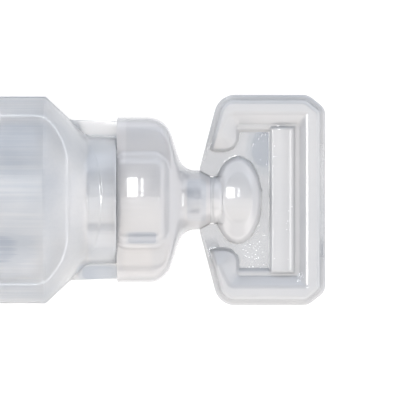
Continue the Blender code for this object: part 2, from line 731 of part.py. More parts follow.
def twist_off_tab(collection, material):
    tab = plate("twist_off_tab", tab_outline(), TAB_WEB_HALF_THICKNESS, collection, MOUTH)
    boolean(tab, helper(stacked_plate("ledge", ledge_levels(), helpers, MOUTH)), "UNION")
    boolean(tab, helper(stacked_plate("frame", frame_levels(), helpers, MOUTH)), "UNION")
    boolean(tab, grip_rib(helpers, MOUTH), "UNION")
    boolean(tab, bulb(helpers, MOUTH), "UNION")
    boolean(tab, stub(helpers, MOUTH), "UNION")
    tab.data.materials.append(material)
    return tab


clear_scene()
ampoule = make_collection("saline_ampoule")
helpers = make_collection("helpers")
axis_frame = bpy.data.objects.new("ampoule_axis", None)
ampoule.objects.link(axis_frame)
axis_frame.location = (-TOTAL_LENGTH / 2, 0.0, PANEL_HEIGHT)

natural = plastic("natural_polyethylene", (0.84, 0.86, 0.89), 0.25, 0.6)
clear_liquid = plastic("saline", (0.93, 0.96, 0.98), 0.02, 1.0)

container(ampoule, natural)
saline(ampoule, clear_liquid)
seal(ampoule, natural)
twist_off_tab(ampoule, natural)
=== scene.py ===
# %% [markdown]
# # Saline ampoule
# A blow-fill-seal ampoule is moulded, filled and closed in one go from natural polyethylene, a milky,
# half-clear plastic. The container, its saline, the thin seal and the twist-off tab are made here as
# fine meshes, laid exactly where the plain solids of the frame are.

from math import cos, pi, radians, sin, tan

import bmesh
import bpy
import numpy as np
from mathutils import Matrix, Vector


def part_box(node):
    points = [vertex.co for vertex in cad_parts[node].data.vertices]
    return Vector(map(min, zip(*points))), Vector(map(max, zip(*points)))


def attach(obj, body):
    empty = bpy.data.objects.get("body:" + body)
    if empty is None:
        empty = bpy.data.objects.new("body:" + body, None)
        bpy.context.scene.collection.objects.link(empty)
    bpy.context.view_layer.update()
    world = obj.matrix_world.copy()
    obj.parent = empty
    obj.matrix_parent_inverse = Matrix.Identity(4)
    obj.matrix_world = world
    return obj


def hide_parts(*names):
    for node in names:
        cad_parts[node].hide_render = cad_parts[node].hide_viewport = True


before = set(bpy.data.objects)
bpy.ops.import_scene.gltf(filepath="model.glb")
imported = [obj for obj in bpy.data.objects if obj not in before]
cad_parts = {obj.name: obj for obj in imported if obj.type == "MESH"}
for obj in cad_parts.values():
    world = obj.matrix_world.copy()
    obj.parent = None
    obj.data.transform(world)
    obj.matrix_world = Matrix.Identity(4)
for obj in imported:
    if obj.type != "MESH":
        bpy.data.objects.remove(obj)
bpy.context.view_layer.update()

# %% [markdown]
# Every place is measured from the frame's own boxes: the base and the mouth are the two ends of the
# container, and the axis runs half-way between its flat panels. Lengths along the ampoule are written
# as stations in millimetres from the base, which is how a mould drawing gives them.

# %% Stations and places
MM = 0.001
shell_low, shell_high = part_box("container_shell")
tab_low, tab_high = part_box("twist_off_tab")
BASE_X = shell_low[0] / MM
AXIS_Z = (shell_low[2] + shell_high[2]) / 2 / MM
MOUTH = shell_high[0] / MM - BASE_X
TAB_END = tab_high[0] / MM - BASE_X
print(f"base at {BASE_X:.2f} mm, axis {AXIS_Z:.2f} mm up, mouth at station {MOUTH:.2f}")

# %% [markdown]
# ## The camera
# The photograph looks straight down. One pixel of it is 0.1 mm on the ampoule, so the picture is
# 41.4 mm wide at the axis, and its middle falls on station 53.1. The camera stands far off with a long
# lens, because the photograph shows no perspective.

# %% Camera
IMAGE_WIDTH = 414
PIXEL = 0.1
CAMERA_DISTANCE = 800.0
PICTURE_MIDDLE = (BASE_X + 53.1, -0.75)

camera_data = bpy.data.cameras.new("camera")
camera_data.sensor_width = 36.0
camera_data.lens = camera_data.sensor_width * CAMERA_DISTANCE / (IMAGE_WIDTH * PIXEL)
camera_data.clip_start = 0.01
camera = bpy.data.objects.new("camera", camera_data)
bpy.context.scene.collection.objects.link(camera)
camera.location = (PICTURE_MIDDLE[0] * MM, PICTURE_MIDDLE[1] * MM, (AXIS_Z + CAMERA_DISTANCE) * MM)
bpy.context.scene.camera = camera
print(f"lens {camera_data.lens:.0f} mm")

# %% [markdown]
# ## Rounded paths
# A mould is drawn with straight runs and a radius at each corner. So is everything here: the side view
# of the container, the tab's outline and its frame are lists of corners, each with its radius. A curve
# object with bevelled corners would do too, but points are needed here to measure distances from.

# %% Corners to points
ARC_POINTS = 12


def with_arcs(corners, closed):
    """Points along a path of (x, y, radius) corners, with an arc at each corner that has a radius."""
    points = []
    count = len(corners)
    for i, (x, y, radius) in enumerate(corners):
        if not closed and i in (0, count - 1):
            points.append((x, y))
            continue
        before = corners[i - 1]
        after = corners[(i + 1) % count]
        heading_in = np.arctan2(y - before[1], x - before[0])
        heading_out = np.arctan2(after[1] - y, after[0] - x)
        turn = (heading_out - heading_in + pi) % (2 * pi) - pi
        side = np.sign(turn)
        start_x = x - radius * tan(abs(turn) / 2) * cos(heading_in)
        start_y = y - radius * tan(abs(turn) / 2) * sin(heading_in)
        for share in np.linspace(0.0, 1.0, ARC_POINTS if radius else 1):
            angle = heading_in + turn * share
            points.append((
                start_x + side * radius * (sin(angle) - sin(heading_in)),
                start_y - side * radius * (cos(angle) - cos(heading_in)),
            ))
    return np.array(points)


def ease(value, start, end):
    """0 before start, 1 after end, and smooth between."""
    share = np.clip((value - start) / (end - start), 0.0, 1.0)
    return share * share * (3 - 2 * share)


# %% [markdown]
# ## The container
# The container changes from round to boxy and back along its axis. Each cross-section can be seen from
# the axis in every direction, so it is stored as a ring: one distance for each of a fixed set of
# directions. Two such rings can be blended or given a fillet with plain arithmetic, which a Boolean
# modifier can't do as smoothly. The directions crowd together at the parting line, where the thin web
# stands out.

# %% Directions round the axis
EVEN_DIRECTIONS = 180
CROWD_REACH = 6.0
CROWD_STEP = 0.4
LEAST_TURN = 0.003

even = np.linspace(-pi, pi, EVEN_DIRECTIONS, endpoint=False)
crowd = np.radians(np.arange(-CROWD_REACH, CROWD_REACH + 0.01, CROWD_STEP))
directions = np.concatenate([even, crowd, crowd + pi])
directions = np.sort(np.unique(np.round((directions + pi) % (2 * pi) - pi, 4)))
ANGLES = directions[np.concatenate([[True], np.diff(directions) > LEAST_TURN])]
COS = np.cos(ANGLES)
SIN = np.sin(ANGLES)
FOLDED = np.arctan2(np.abs(SIN), np.abs(COS))
print(len(ANGLES), "directions")

# %% Sizes of the container
BODY_RADIUS = 10.2
PANEL_HEIGHT = AXIS_Z
PANEL_FULLNESS = 2.12
BODY_LENGTH = 37.0
WALL = 0.6
BASE_CORNER = 1.5
SHOULDER_ANGLE = radians(43)
SHOULDER_ROUNDING = 0.9
WAIST_RADIUS = 6.4
WAIST_ROUNDING = 1.1
WAIST_LENGTH = 3.05
WAIST_START = BODY_LENGTH + (BODY_RADIUS - WAIST_RADIUS) / tan(SHOULDER_ANGLE)
COLLAR_START = WAIST_START + WAIST_LENGTH
COLLAR_HALF_WIDTH = 8.1
COLLAR_HALF_THICKNESS = 4.2
COLLAR_CORNER = 1.3
COLLAR_LENGTH = 3.1
COLLAR_BEVEL = (0.06, 0.2)
FLARE_ANGLE = radians(72)
FLARE_OUTER_RADIUS = 2.45
FLARE_INNER_RADIUS = 1.65
FLARE_TOP = COLLAR_START + COLLAR_LENGTH + FLARE_OUTER_RADIUS * tan(FLARE_ANGLE / 2)
NOZZLE_RADIUS = 2.88
FLARE_FOOT = FLARE_TOP + (COLLAR_HALF_WIDTH - NOZZLE_RADIUS) / tan(FLARE_ANGLE)
LIP_CONE_LENGTH = 1.0
LIP_RADIUS = 2.35
BORE_RADIUS = 2.05
BORE_START = MOUTH - 2.3


# %% Sections
def rounded(half_width, half_height, corner_width, corner_height):
    """Ring of a rectangle whose corners are quarter ellipses."""
    turn = np.linspace(0.0, pi / 2, 80)
    y = half_width - corner_width + corner_width * np.cos(turn)
    z = half_height - corner_height + corner_height * np.sin(turn)
    y = np.concatenate([[half_width], y, np.linspace(y[-1], 0.0, 12)[1:]])
    z = np.concatenate([[0.0], z, np.full(11, half_height)])
    return np.interp(FOLDED, np.arctan2(z, y), np.hypot(y, z))


def body_section(radius, inset):
    """Round, but a little fuller than a circle towards its panels and its parting line."""
    wide = radius - inset
    high = radius * PANEL_HEIGHT / BODY_RADIUS - inset
    across = np.abs(COS / wide) ** PANEL_FULLNESS
    up = np.abs(SIN / high) ** PANEL_FULLNESS
    return (across + up) ** (-1 / PANEL_FULLNESS)


def collar_share(half_width):
    """1 at the collar's full width, 0 where it has narrowed to the nozzle."""
    return np.clip((half_width - NOZZLE_RADIUS) / (COLLAR_HALF_WIDTH - NOZZLE_RADIUS), 0.0, 1.0)


def collar_section(half_width, inset):
    """The boxy collar, which turns round as it narrows to the nozzle."""
    share = collar_share(half_width)
    half_height = min(half_width, NOZZLE_RADIUS + share * (COLLAR_HALF_THICKNESS - NOZZLE_RADIUS))
    corner = min(half_width, NOZZLE_RADIUS + share * (COLLAR_CORNER - NOZZLE_RADIUS))
    wide = half_width - inset
    high = half_height - inset
    return rounded(wide, high, min(corner, wide), min(corner, high))


def blend_out(a, b, fillet):
    """The larger of two rings, with a soft fillet where they meet."""
    share = np.clip(0.5 + 0.5 * (a - b) / fillet, 0.0, 1.0)
    return b + (a - b) * share + fillet * share * (1 - share)


# %% [markdown]
# The side view gives the half width at each station. A fine raised crease runs round the body where the
# shoulder begins. On both faces of the waist, where the blown wall pulled away from the mould, lies a
# shallow hollow with a round far edge. These could be bumps in the material, but then they would be
# missing in the exported mesh.

# %% Side view
CREASE = BODY_LENGTH - 0.1
CREASE_HEIGHT = 0.025
CREASE_REACH = 0.09
WAIST_TAPER = 0.05
WAIST_END = 0.12
SIDE_VIEW = with_arcs([
    (BASE_CORNER, BODY_RADIUS, 0.0),
    (BODY_LENGTH, BODY_RADIUS, SHOULDER_ROUNDING),
    (WAIST_START, WAIST_RADIUS + WAIST_TAPER, WAIST_ROUNDING),
    (COLLAR_START, WAIST_RADIUS - WAIST_TAPER, 0.0),
    (COLLAR_START, COLLAR_HALF_WIDTH - COLLAR_BEVEL[1], 0.0),
    (COLLAR_START + COLLAR_BEVEL[0], COLLAR_HALF_WIDTH, 0.0),
    (FLARE_TOP, COLLAR_HALF_WIDTH, FLARE_OUTER_RADIUS),
    (FLARE_FOOT, NOZZLE_RADIUS, FLARE_INNER_RADIUS),
    (MOUTH - LIP_CONE_LENGTH, NOZZLE_RADIUS, 0.5),
    (MOUTH, LIP_RADIUS, 0.0),
], closed=False)
HOLLOW_DEPTH = 0.06
HOLLOW_HALF_WIDTH = 5.5
HOLLOW_LENGTH = 1.65
HOLLOW_EDGE = 0.13


def half_width_at(station):
    """Half width of the side view at a station."""
    return np.interp(station, SIDE_VIEW[:, 0], SIDE_VIEW[:, 1])


def waist_hollow(station):
    """How much the waist is drawn in at a station, in every direction."""
    across = np.clip(WAIST_RADIUS * np.abs(COS) / HOLLOW_HALF_WIDTH, 0.0, 1.0)
    far_edge = WAIST_START - 0.1 + HOLLOW_LENGTH * np.sqrt(1 - across**2)
    fall = ease(station, WAIST_START - 0.4, WAIST_START + 0.3)
    return HOLLOW_DEPTH * fall * (1 - ease(station, far_edge - HOLLOW_EDGE, far_edge + HOLLOW_EDGE))


def section(station, inset):
    """The ring at a station, with its wall taken off evenly all round."""
    half_width = half_width_at(station)
    if not inset:
        half_width += CREASE_HEIGHT * np.exp(-(((station - CREASE) / CREASE_REACH) ** 2))
    if station < COLLAR_START:
        into_end = np.clip((station - COLLAR_START) / WAIST_END + 1, 0.0, 0.99)
        half_width = half_width - WAIST_END * (1 - np.sqrt(1 - into_end**2))
        return body_section(half_width, inset) - waist_hollow(station)
    return collar_section(half_width, inset)


def stations(first, last, coarse=1.5, fine=0.2, finest=0.05):
    """Stations along the ampoule: few on the plain body, many from the shoulder on, most at the waist."""
    shoulder = BODY_LENGTH - 2.0
    waist_end = COLLAR_START - 0.5
    return np.concatenate([
        np.arange(first, shoulder, coarse),
        np.arange(shoulder, WAIST_START - fine / 2, fine),
        np.arange(WAIST_START, waist_end, finest),
        np.arange(waist_end, last - fine / 2, fine),
        [last],
    ])


# %% [markdown]
# A blown wall is even where it can be, and its inside is smoother than its outside. A Solidify modifier
# would fold over itself in the tight corners. To find the inside here, a disc of the wall's thickness is
# rolled along the outside, as an offset curve is drawn, and what it leaves is averaged along the axis.
# The bore in the nozzle is pierced straight.

# %% Inside of the wall
INSIDE_STEP = 0.1
DISC_STEPS = 9
SMOOTHING_STEPS = 8


def offset_inside(wall):
    """Rings along the inside of a wall of this thickness, at even stations."""
    at = np.arange(BASE_CORNER, MOUTH + 0.001, INSIDE_STEP)
    tables = []
    for share in np.linspace(-1.0, 1.0, DISC_STEPS):
        inset = wall * (1 - share**2) ** 0.5
        shifted = np.clip(at + wall * share, BASE_CORNER, MOUTH)
        tables.append(np.array([section(station, inset) for station in shifted]))
    eroded = np.min(tables, axis=0)
    reach = SMOOTHING_STEPS
    padded = np.concatenate([eroded[:1]] * reach + [eroded] + [eroded[-1:]] * reach)
    smooth = np.mean([padded[i : i + len(at)] for i in range(2 * reach + 1)], axis=0)
    inside = np.minimum(smooth, eroded)
    bore = BORE_RADIUS + WALL - wall
    into_bore = ease(at, BORE_START - 0.25, BORE_START + 0.05)[:, None]
    inside = np.maximum(inside, bore)
    return at, inside + (bore - inside) * into_bore


# %% [markdown]
# The base turns in round a standing ring to a recessed bottom, which the mould pinched shut along the
# parting plane. The two mould halves also leave a thin ridge all along, and a web beside the waist. Both
# are part of the rings, so they grow out of the wall without a seam.

# %% Base
RECESS_DEPTH = 0.9
RECESS_RADIUS = 5.8
RING_RADIUS = 7.3
SEAM_HEIGHT = 0.5
SEAM_HALF_THICKNESS = 0.42
SEAM_HALF_LENGTH = 5.5


def base_rings(inset):
    """(station, ring) from the middle of the recess round to the side of the body."""
    foot = BODY_RADIUS - BASE_CORNER
    rings = []
    recess = np.linspace(0.25, RECESS_RADIUS - 0.2, 14)
    for radius in np.concatenate([recess, np.linspace(RECESS_RADIUS, foot, 14)]):
        depth = RECESS_DEPTH * (1 - ease(radius, RECESS_RADIUS + inset, RING_RADIUS + inset))
        rings.append((depth + inset, body_section(radius, 0.0)))
    corner = BASE_CORNER - inset
    for turn in np.linspace(0.0, pi / 2, 10)[1:]:
        radius = foot + corner * sin(turn) + inset
        rings.append((inset + corner * (1 - cos(turn)), body_section(radius, inset)))
    return rings


def seam_height(y, z):
    """The pinched seam across the recess."""
    across = ease(SEAM_HALF_THICKNESS - np.abs(z), 0.0, 0.25)
    return SEAM_HEIGHT * across * ease(SEAM_HALF_LENGTH - np.abs(y), 0.0, 0.8)


# %% Parting line and web
FLASH = 0.12
RIDGE_HALF_THICKNESS = 0.14
RIDGE_FILLET = 0.1
WEB_START = BODY_LENGTH + 2.5
WEB_LENGTH = 4.6
WEB_HALF_WIDTH = 8.0
WEB_TAPER = 0.15
WEB_HALF_THICKNESS = 0.3
COLLAR_RIDGE_HEIGHT = 0.05
COLLAR_RIDGE_HALF_THICKNESS = 0.12


def with_parting_line(station, ring):
    """A ring with the ridge or web that stands out in the parting plane."""
    if station < BASE_CORNER:
        return ring
    if station < BODY_LENGTH:
        reach = BODY_RADIUS + FLASH
        thickness = RIDGE_HALF_THICKNESS
    elif station < COLLAR_START:
        slope = BODY_RADIUS + FLASH - (station - BODY_LENGTH) * tan(SHOULDER_ANGLE)
        reach = max(slope, WEB_HALF_WIDTH - WEB_TAPER * (station - WEB_START) / WEB_LENGTH)
        into_web = ease(station, WEB_START - 1.5, WEB_START - 0.1)
        thickness = RIDGE_HALF_THICKNESS + (WEB_HALF_THICKNESS - RIDGE_HALF_THICKNESS) * into_web
    else:
        reach = np.interp(0.0, ANGLES, ring) + COLLAR_RIDGE_HEIGHT
        thickness = COLLAR_RIDGE_HALF_THICKNESS
    ridge = rounded(reach, thickness, min(thickness, 0.1), thickness * 0.8)
    return blend_out(ring, ridge, RIDGE_FILLET)


# %% [markdown]
# The pad is a rounded rectangle seen from the front, with sloping sides and a top that is barrelled
# like the ampoule itself. It is a change of height over the collar's faces, inside and outside, so that
# it needs no edges of its own and its wall stays even.

# %% Pad
PAD_MIDDLE = COLLAR_START + 2.3
PAD_HALF_LENGTH = 2.82
PAD_HALF_WIDTH = 4.45
PAD_RISE = 1.2
PAD_LEAST_RISE = 0.25
PAD_CORNER = 1.4
PAD_LEAST_CORNER = 0.4
PAD_SLOPE = 0.95
PAD_CROWN_ALONG = 14.0
PAD_CROWN_MIDDLE = 0.32
PAD_CROWN_ACROSS = 22.0
PAD_LEAST_HEIGHT = 2.0
COLLAR_CROWN = 22.0


def rectangle_depth(x, y, half_x, half_y, corner):
    """How far a point lies inside a rounded rectangle."""
    out_x = np.abs(x) - (half_x - corner)
    out_y = np.abs(y) - (half_y - corner)
    outside = np.hypot(np.maximum(out_x, 0), np.maximum(out_y, 0))
    return corner - outside - np.minimum(np.maximum(out_x, out_y), 0)


def dome(depth, width):
    """0 at the edge of a shape, rising like a quarter circle to 1 at width inside it."""
    share = np.clip(depth / width, 0.0, 1.0)
    return np.sqrt(1 - (1 - share) ** 2)


def pad_height(station, y, inset):
    """How much a pad adds to the collar's height."""
    if station < COLLAR_START:
        return np.zeros_like(y)
    x = station - PAD_MIDDLE
    corner = max(PAD_CORNER - inset, PAD_LEAST_CORNER)
    depth = rectangle_depth(x, y, PAD_HALF_LENGTH - inset, PAD_HALF_WIDTH - inset, corner)
    along = (x - PAD_CROWN_MIDDLE) ** 2 / (2 * PAD_CROWN_ALONG)
    across = y**2 / (2 * PAD_CROWN_ACROSS)
    return np.maximum(PAD_RISE - along - across, PAD_LEAST_RISE) * dome(depth, PAD_SLOPE)


# %% Points of the wall
def collar_crown(station, y):
    """Share of its height that the collar keeps at a distance from the middle of its barrelled faces."""
    if station < COLLAR_START:
        return 1.0
    return 1 - collar_share(half_width_at(station)) * y**2 / (2 * COLLAR_CROWN * COLLAR_HALF_THICKNESS)


def wall_points(rings, inset):
    """Rows of (x, y, z) in millimetres for a list of rings."""
    rows = []
    for station, ring in rings:
        y = ring * COS
        z = ring * SIN * collar_crown(station, y)
        face = np.where(np.abs(z) > PAD_LEAST_HEIGHT, np.sign(z), 0.0)
        z = z + face * pad_height(station, y, inset)
        x = np.full_like(y, station)
        if not inset and station <= RECESS_DEPTH:
            x = x - seam_height(y, z)
        rows.append(np.stack([x, y, z], axis=1))
    return rows


FIRST_STATION = 2.5


def outer_rings():
    """(station, ring) along the outside, closer together at the crease and at the collar's step."""
    rings = base_rings(0.0)
    crease = np.linspace(CREASE - 0.3, CREASE + 0.3, 19)
    step = np.linspace(COLLAR_START - 0.02, COLLAR_START + 0.08, 6)
    for station in np.sort(np.concatenate([stations(FIRST_STATION, MOUTH), crease, step])):
        rings.append((station, section(station, 0.0)))
    return [(station, with_parting_line(station, ring)) for station, ring in rings]


def inner_rings(inset):
    """(station, ring) along the inside of the wall."""
    at, table = offset_inside(inset)
    rings = base_rings(inset)
    for station in stations(FIRST_STATION, MOUTH):
        rings.append((station, table[int(np.argmin(np.abs(at - station)))]))
    return rings


# %% [markdown]
# Points and faces become an object through one function. It merges what coincides, turns all faces
# outwards and marks the sharp edges, so that smooth shading doesn't smear over them.

# %% Closed objects
def closed_object(name, points, faces, parts, merge, least_edge, sharp):
    """An object from (station, y, height over the axis) points in millimetres.

    parts numbers each face's material. Points closer than merge, in metres, become one, edges shorter
    than least_edge are dissolved, and edges that turn by more than sharp degrees stay sharp.
    """
    placed = points * MM
    placed[:, 0] += BASE_X * MM
    placed[:, 2] += AXIS_Z * MM
    mesh = bpy.data.meshes.new(name)
    mesh.from_pydata(placed.tolist(), [], faces)
    mesh.polygons.foreach_set("material_index", parts)
    work = bmesh.new()
    work.from_mesh(mesh)
    bmesh.ops.remove_doubles(work, verts=work.verts, dist=merge)
    if least_edge:
        bmesh.ops.dissolve_degenerate(work, dist=least_edge, edges=work.edges)
    bmesh.ops.recalc_face_normals(work, faces=work.faces)
    work.to_mesh(mesh)
    work.free()
    mesh.shade_smooth()
    mesh.set_sharp_from_angle(angle=radians(sharp))
    return in_scene(name, mesh)


def in_scene(name, mesh):
    """A new object of a mesh, in the scene."""
    made = bpy.data.objects.new(name, mesh)
    bpy.context.scene.collection.objects.link(made)
    print(f"{name}: {len(mesh.polygons)} faces")
    return made


def skin(name, rows, inner_from=None, collar_from=None):
    """A closed object through rows of points, each row a ring round the axis.

    Faces past the row inner_from take the second material, and those from the row collar_from up to
    there the third.
    """
    count = len(ANGLES)
    points = np.concatenate(rows + [rows[0].mean(axis=0)[None], rows[-1].mean(axis=0)[None]])
    pole = len(rows) * count
    faces = [(pole, (i + 1) % count, i) for i in range(count)]
    for start in range(0, (len(rows) - 1) * count, count):
        for i in range(count):
            j = (i + 1) % count
            faces.append((start + i, start + j, start + count + j, start + count + i))
    start = (len(rows) - 1) * count
    faces += [(pole + 1, start + i, start + (i + 1) % count) for i in range(count)]
    parts = np.zeros(len(faces), dtype=int)
    if inner_from is not None:
        parts[(collar_from + 1) * count :] = 2
        parts[(inner_from + 1) * count :] = 1
    return closed_object(name, points, faces, parts.tolist(), merge=1e-8, least_edge=0.0, sharp=50)


# %% Container
outside = wall_points(outer_rings(), 0.0)
collar_row = sum(1 for station, ring in outer_rings() if station < COLLAR_START + 0.01)
inside = wall_points(inner_rings(WALL), WALL)
lip_step = (outside[-1] + inside[-1]) / 2
container = skin("container", outside + [lip_step] + inside[::-1], len(outside), collar_row)

# %% [markdown]
# ## Helpers for nodes
# Geometry Nodes and materials are trees of small nodes joined by links. Written out one link at a time
# they would be hard to read. The helpers here take what goes into a node and give back the socket that
# comes out of it, so that a tree reads like a sum. Copies of the same lines in every tree would soon
# differ from each other.

# %% Helpers for node trees
def feed(tree, node, inputs):
    """Sets inputs of a node, by name or number. Each value is a constant or the socket that gives it."""
    for key, value in inputs.items():
        if isinstance(value, bpy.types.NodeSocket):
            tree.links.new(value, node.inputs[key])
        else:
            node.inputs[key].default_value = value


def new_node(tree, kind, inputs=None, **settings):
    """A node with its settings and its inputs."""
    node = tree.nodes.new(kind)
    for name, value in settings.items():
        setattr(node, name, value)
    feed(tree, node, inputs or {})
    return node


def output_of(tree, kind, inputs=None, **settings):
    """The first output of a new node."""
    return new_node(tree, kind, inputs, **settings).outputs[0]


def arithmetic(tree, operation, *values, clamp=False):
    """A Math node. Each value is a number or the socket that gives it."""
    return output_of(tree, "ShaderNodeMath", dict(enumerate(values)), operation=operation, use_clamp=clamp)


def combine(tree, **parts):
    """A vector from its parts X, Y and Z."""
    return output_of(tree, "ShaderNodeCombineXYZ", parts)


def separate(tree, vector):
    """The outputs X, Y and Z of a vector."""
    return new_node(tree, "ShaderNodeSeparateXYZ", {0: vector}).outputs


def new_group(kind, name, inputs, outputs):
    """A node group and what its input node gives. Each socket is named with its value or its kind."""
    tree = bpy.data.node_groups.new(name, kind + "NodeTree")
    for way, sockets in (("INPUT", inputs), ("OUTPUT", outputs)):
        for socket_name, value in sockets.items():
            is_kind = isinstance(value, str)
            holds = value if is_kind else {int: "Int", float: "Float"}[type(value)]
            socket = tree.interface.new_socket(socket_name, in_out=way, socket_type="NodeSocket" + holds)
            if not is_kind:
                socket.default_value = value
    return tree, tree.nodes.new("NodeGroupInput").outputs


# %% Helpers for Geometry Nodes
def new_geometry_tree(name, inputs):
    """A geometry node group that puts out a mesh of one material."""
    return new_group("Geometry", name, {**inputs, "Material": "Material"}, {"Geometry": "Geometry"})


def finish_tree(tree, given, geometry):
    """Ends a tree in Realize Instances and Set Material."""
    real = output_of(tree, "GeometryNodeRealizeInstances", {"Geometry": geometry})
    inputs = {"Geometry": real, "Material": given["Material"]}
    painted = output_of(tree, "GeometryNodeSetMaterial", inputs)
    new_node(tree, "NodeGroupOutput", {"Geometry": painted})
    return tree


def apply_tree(name, tree, settings, start_mesh=None):
    """Runs a tree on a mesh, with its inputs set by their identifiers, and keeps the plain result."""
    work = bpy.data.objects.new(name + "_work", start_mesh or bpy.data.meshes.new(name + "_start"))
    bpy.context.scene.collection.objects.link(work)
    modifier = work.modifiers.new("nodes", "NODES")
    modifier.node_group = tree
    for item in tree.interface.items_tree:
        if item.in_out == "INPUT" and item.name in settings:
            modifier[item.identifier] = settings[item.name]
    graph = bpy.context.evaluated_depsgraph_get()
    mesh = bpy.data.meshes.new_from_object(work.evaluated_get(graph))
    bpy.data.objects.remove(work)
    mesh.name = name
    return in_scene(name, mesh)


# %% Helpers for materials
def new_material(name):
    """A material with its node tree and its Principled shader."""
    material = bpy.data.materials.new(name)
    material.use_nodes = True
    return material, material.node_tree, material.node_tree.nodes["Principled BSDF"]


def object_place(tree):
    """Where a point lies in the object's own coordinates, in metres."""
    return tree.nodes.new("ShaderNodeTexCoord").outputs["Object"]


def noise(tree, vector, scale, detail=2.0):
    """Soft noise between 0 and 1."""
    return output_of(tree, "ShaderNodeTexNoise", {"Vector": vector, "Scale": scale, "Detail": detail})


def colour_ramp(tree, value, stops, interpolation="LINEAR"):
    """The colour that a ramp of (position, colour) stops gives to a value."""
    ramp = new_node(tree, "ShaderNodeValToRGB", {"Fac": value})
    ramp.color_ramp.interpolation = interpolation
    elements = ramp.color_ramp.elements
    while len(elements) < len(stops):
        elements.new(0.5)
    for element, (position, colour) in zip(elements, stops):
        element.position = position
        element.color = (*colour, 1.0)
    return ramp.outputs["Color"]


# %% [markdown]
# ## The saline
# Still liquid takes the shape of what holds it, up to its level. A Boolean cut would give the level a
# hard rim. It is a rule and not a form, so Geometry Nodes apply it: the mesh that goes in is the inside
# of the wall, and each point above the level is brought down to it. Points that were only just above
# stay a little higher, which makes the meniscus along the wall. Towards the shoulder the level curves
# up, where the headspace ends in a round bubble. A slight overlap with the wall leaves no film of air
# between them, which would look like a second wall.

# %% Level, as a node tree
def level_tree():
    """Brings every point above the saline's level down to it."""
    tree, given = new_geometry_tree("liquid level", {
        "Geometry": "Geometry", "Level": 0.0, "Meniscus": 0.0, "Reach": 0.0,
        "Headspace End": 0.0, "Headspace Round": 0.0,
    })
    x, y, z = separate(tree, output_of(tree, "GeometryNodeInputPosition"))
    start = arithmetic(tree, "SUBTRACT", given["Headspace End"], given["Headspace Round"])
    past_start = arithmetic(tree, "SUBTRACT", x, start)
    along = arithmetic(tree, "DIVIDE", past_start, given["Headspace Round"], clamp=True)
    squared = arithmetic(tree, "MULTIPLY", along, along)
    root = arithmetic(tree, "SQRT", arithmetic(tree, "SUBTRACT", 1.0, squared))
    curved = arithmetic(tree, "SUBTRACT", 1.0, root)
    level = arithmetic(tree, "MULTIPLY_ADD", curved, given["Headspace Round"], given["Level"])
    above = arithmetic(tree, "SUBTRACT", z, level)
    falling = arithmetic(tree, "DIVIDE", above, given["Reach"])
    share = arithmetic(tree, "EXPONENT", arithmetic(tree, "MULTIPLY", falling, -1.0))
    surface = arithmetic(tree, "MULTIPLY_ADD", share, given["Meniscus"], level)
    full = arithmetic(tree, "GREATER_THAN", x, given["Headspace End"])
    kept = arithmetic(tree, "MINIMUM", z, arithmetic(tree, "ADD", surface, full))
    lowered = {"Geometry": given["Geometry"], "Position": combine(tree, X=x, Y=y, Z=kept)}
    return finish_tree(tree, given, output_of(tree, "GeometryNodeSetPosition", lowered))


# %% [markdown]
# Clear salt water needs no pattern to look right, but slow mixing leaves a very faint drift of density
# in it. What is too small to show more than the light that it gathers, such as the bead along the level
# and the bubbles in the plastic, gets a painted glint: a little glow of its own, though it is no lamp.
# A true caustic would need far more samples.

# %% Materials of the saline and the bubbles
def saline_material():
    """Clear salt water with a very faint drift in its tint."""
    material, tree, shader = new_material("saline_liquid")
    drift = noise(tree, object_place(tree), 90.0)
    feed(tree, shader, {
        "Base Color": colour_ramp(tree, drift, [(0.0, (0.88, 0.92, 0.97)), (1.0, (0.93, 0.95, 0.97))]),
        "Metallic": 0.0,
        "Roughness": 0.0,
        "IOR": 1.33,
        "Transmission Weight": 1.0,
    })
    return material


def painted_glint_material(name, brightness):
    """A painted glint: it glows a little, for what is too small to show more than the light that it
    gathers and scatters.
    """
    material, tree, shader = new_material(name)
    drift = noise(tree, object_place(tree), 700.0)
    feed(tree, shader, {
        "Base Color": colour_ramp(tree, drift, [(0.35, (0.80, 0.82, 0.85)), (0.6, (0.95, 0.95, 0.96))]),
        "Metallic": 0.0,
        "Roughness": 0.3,
        "IOR": 1.33,
        "Transmission Weight": 0.2,
        "Emission Color": (0.95, 0.97, 1.0, 1.0),
        "Emission Strength": brightness,
    })
    return material


SALINE = saline_material()
# Painted glints: the bead along the level and the bubbles glow a little.
BEAD_GLOW = painted_glint_material("saline_bead_painted_glint", 0.35)
BUBBLE_GLOW = painted_glint_material("air_bubble_painted_glint", 0.6)


# %% Saline
LEVEL = 5.3
MENISCUS = 0.6
MENISCUS_REACH = 0.35
HEADSPACE_END = 39.2
HEADSPACE_ROUND = 1.6
OVERLAP = 0.03

up_to_bore = [row for row, ring in zip(inside, inner_rings(WALL)) if ring[0] <= BORE_START]
inside_of_wall = skin("inside_of_wall", up_to_bore)
pushed_out = [vert.co + vert.normal * OVERLAP * MM for vert in inside_of_wall.data.vertices]
for vert, place in zip(inside_of_wall.data.vertices, pushed_out):
    vert.co = place
saline = apply_tree("saline", level_tree(), {
    "Level": (AXIS_Z + LEVEL) * MM,
    "Meniscus": MENISCUS * MM,
    "Reach": MENISCUS_REACH * MM,
    "Headspace End": (BASE_X + HEADSPACE_END) * MM,
    "Headspace Round": HEADSPACE_ROUND * MM,
    "Material": SALINE,
}, inside_of_wall.data)
bpy.data.objects.remove(inside_of_wall)

# %% [markdown]
# Where the level meets the wall, surface tension draws a thin bead of liquid up it, and the bead gathers
# light into a bright line, which is painted here as a glint: the bead glows a little. Its path is worked
# out from the inside of the wall, and a node tree bends a round profile along it, which keeps the bead
# equally thick all along.

# %% Path of the bead
def level_at(station):
    """Height of the level over the axis. It curves up at the end of the headspace."""
    along = np.clip((station - HEADSPACE_END + HEADSPACE_ROUND) / HEADSPACE_ROUND, 0.0, 1.0)
    return LEVEL + (1 - np.sqrt(1 - along**2)) * HEADSPACE_ROUND


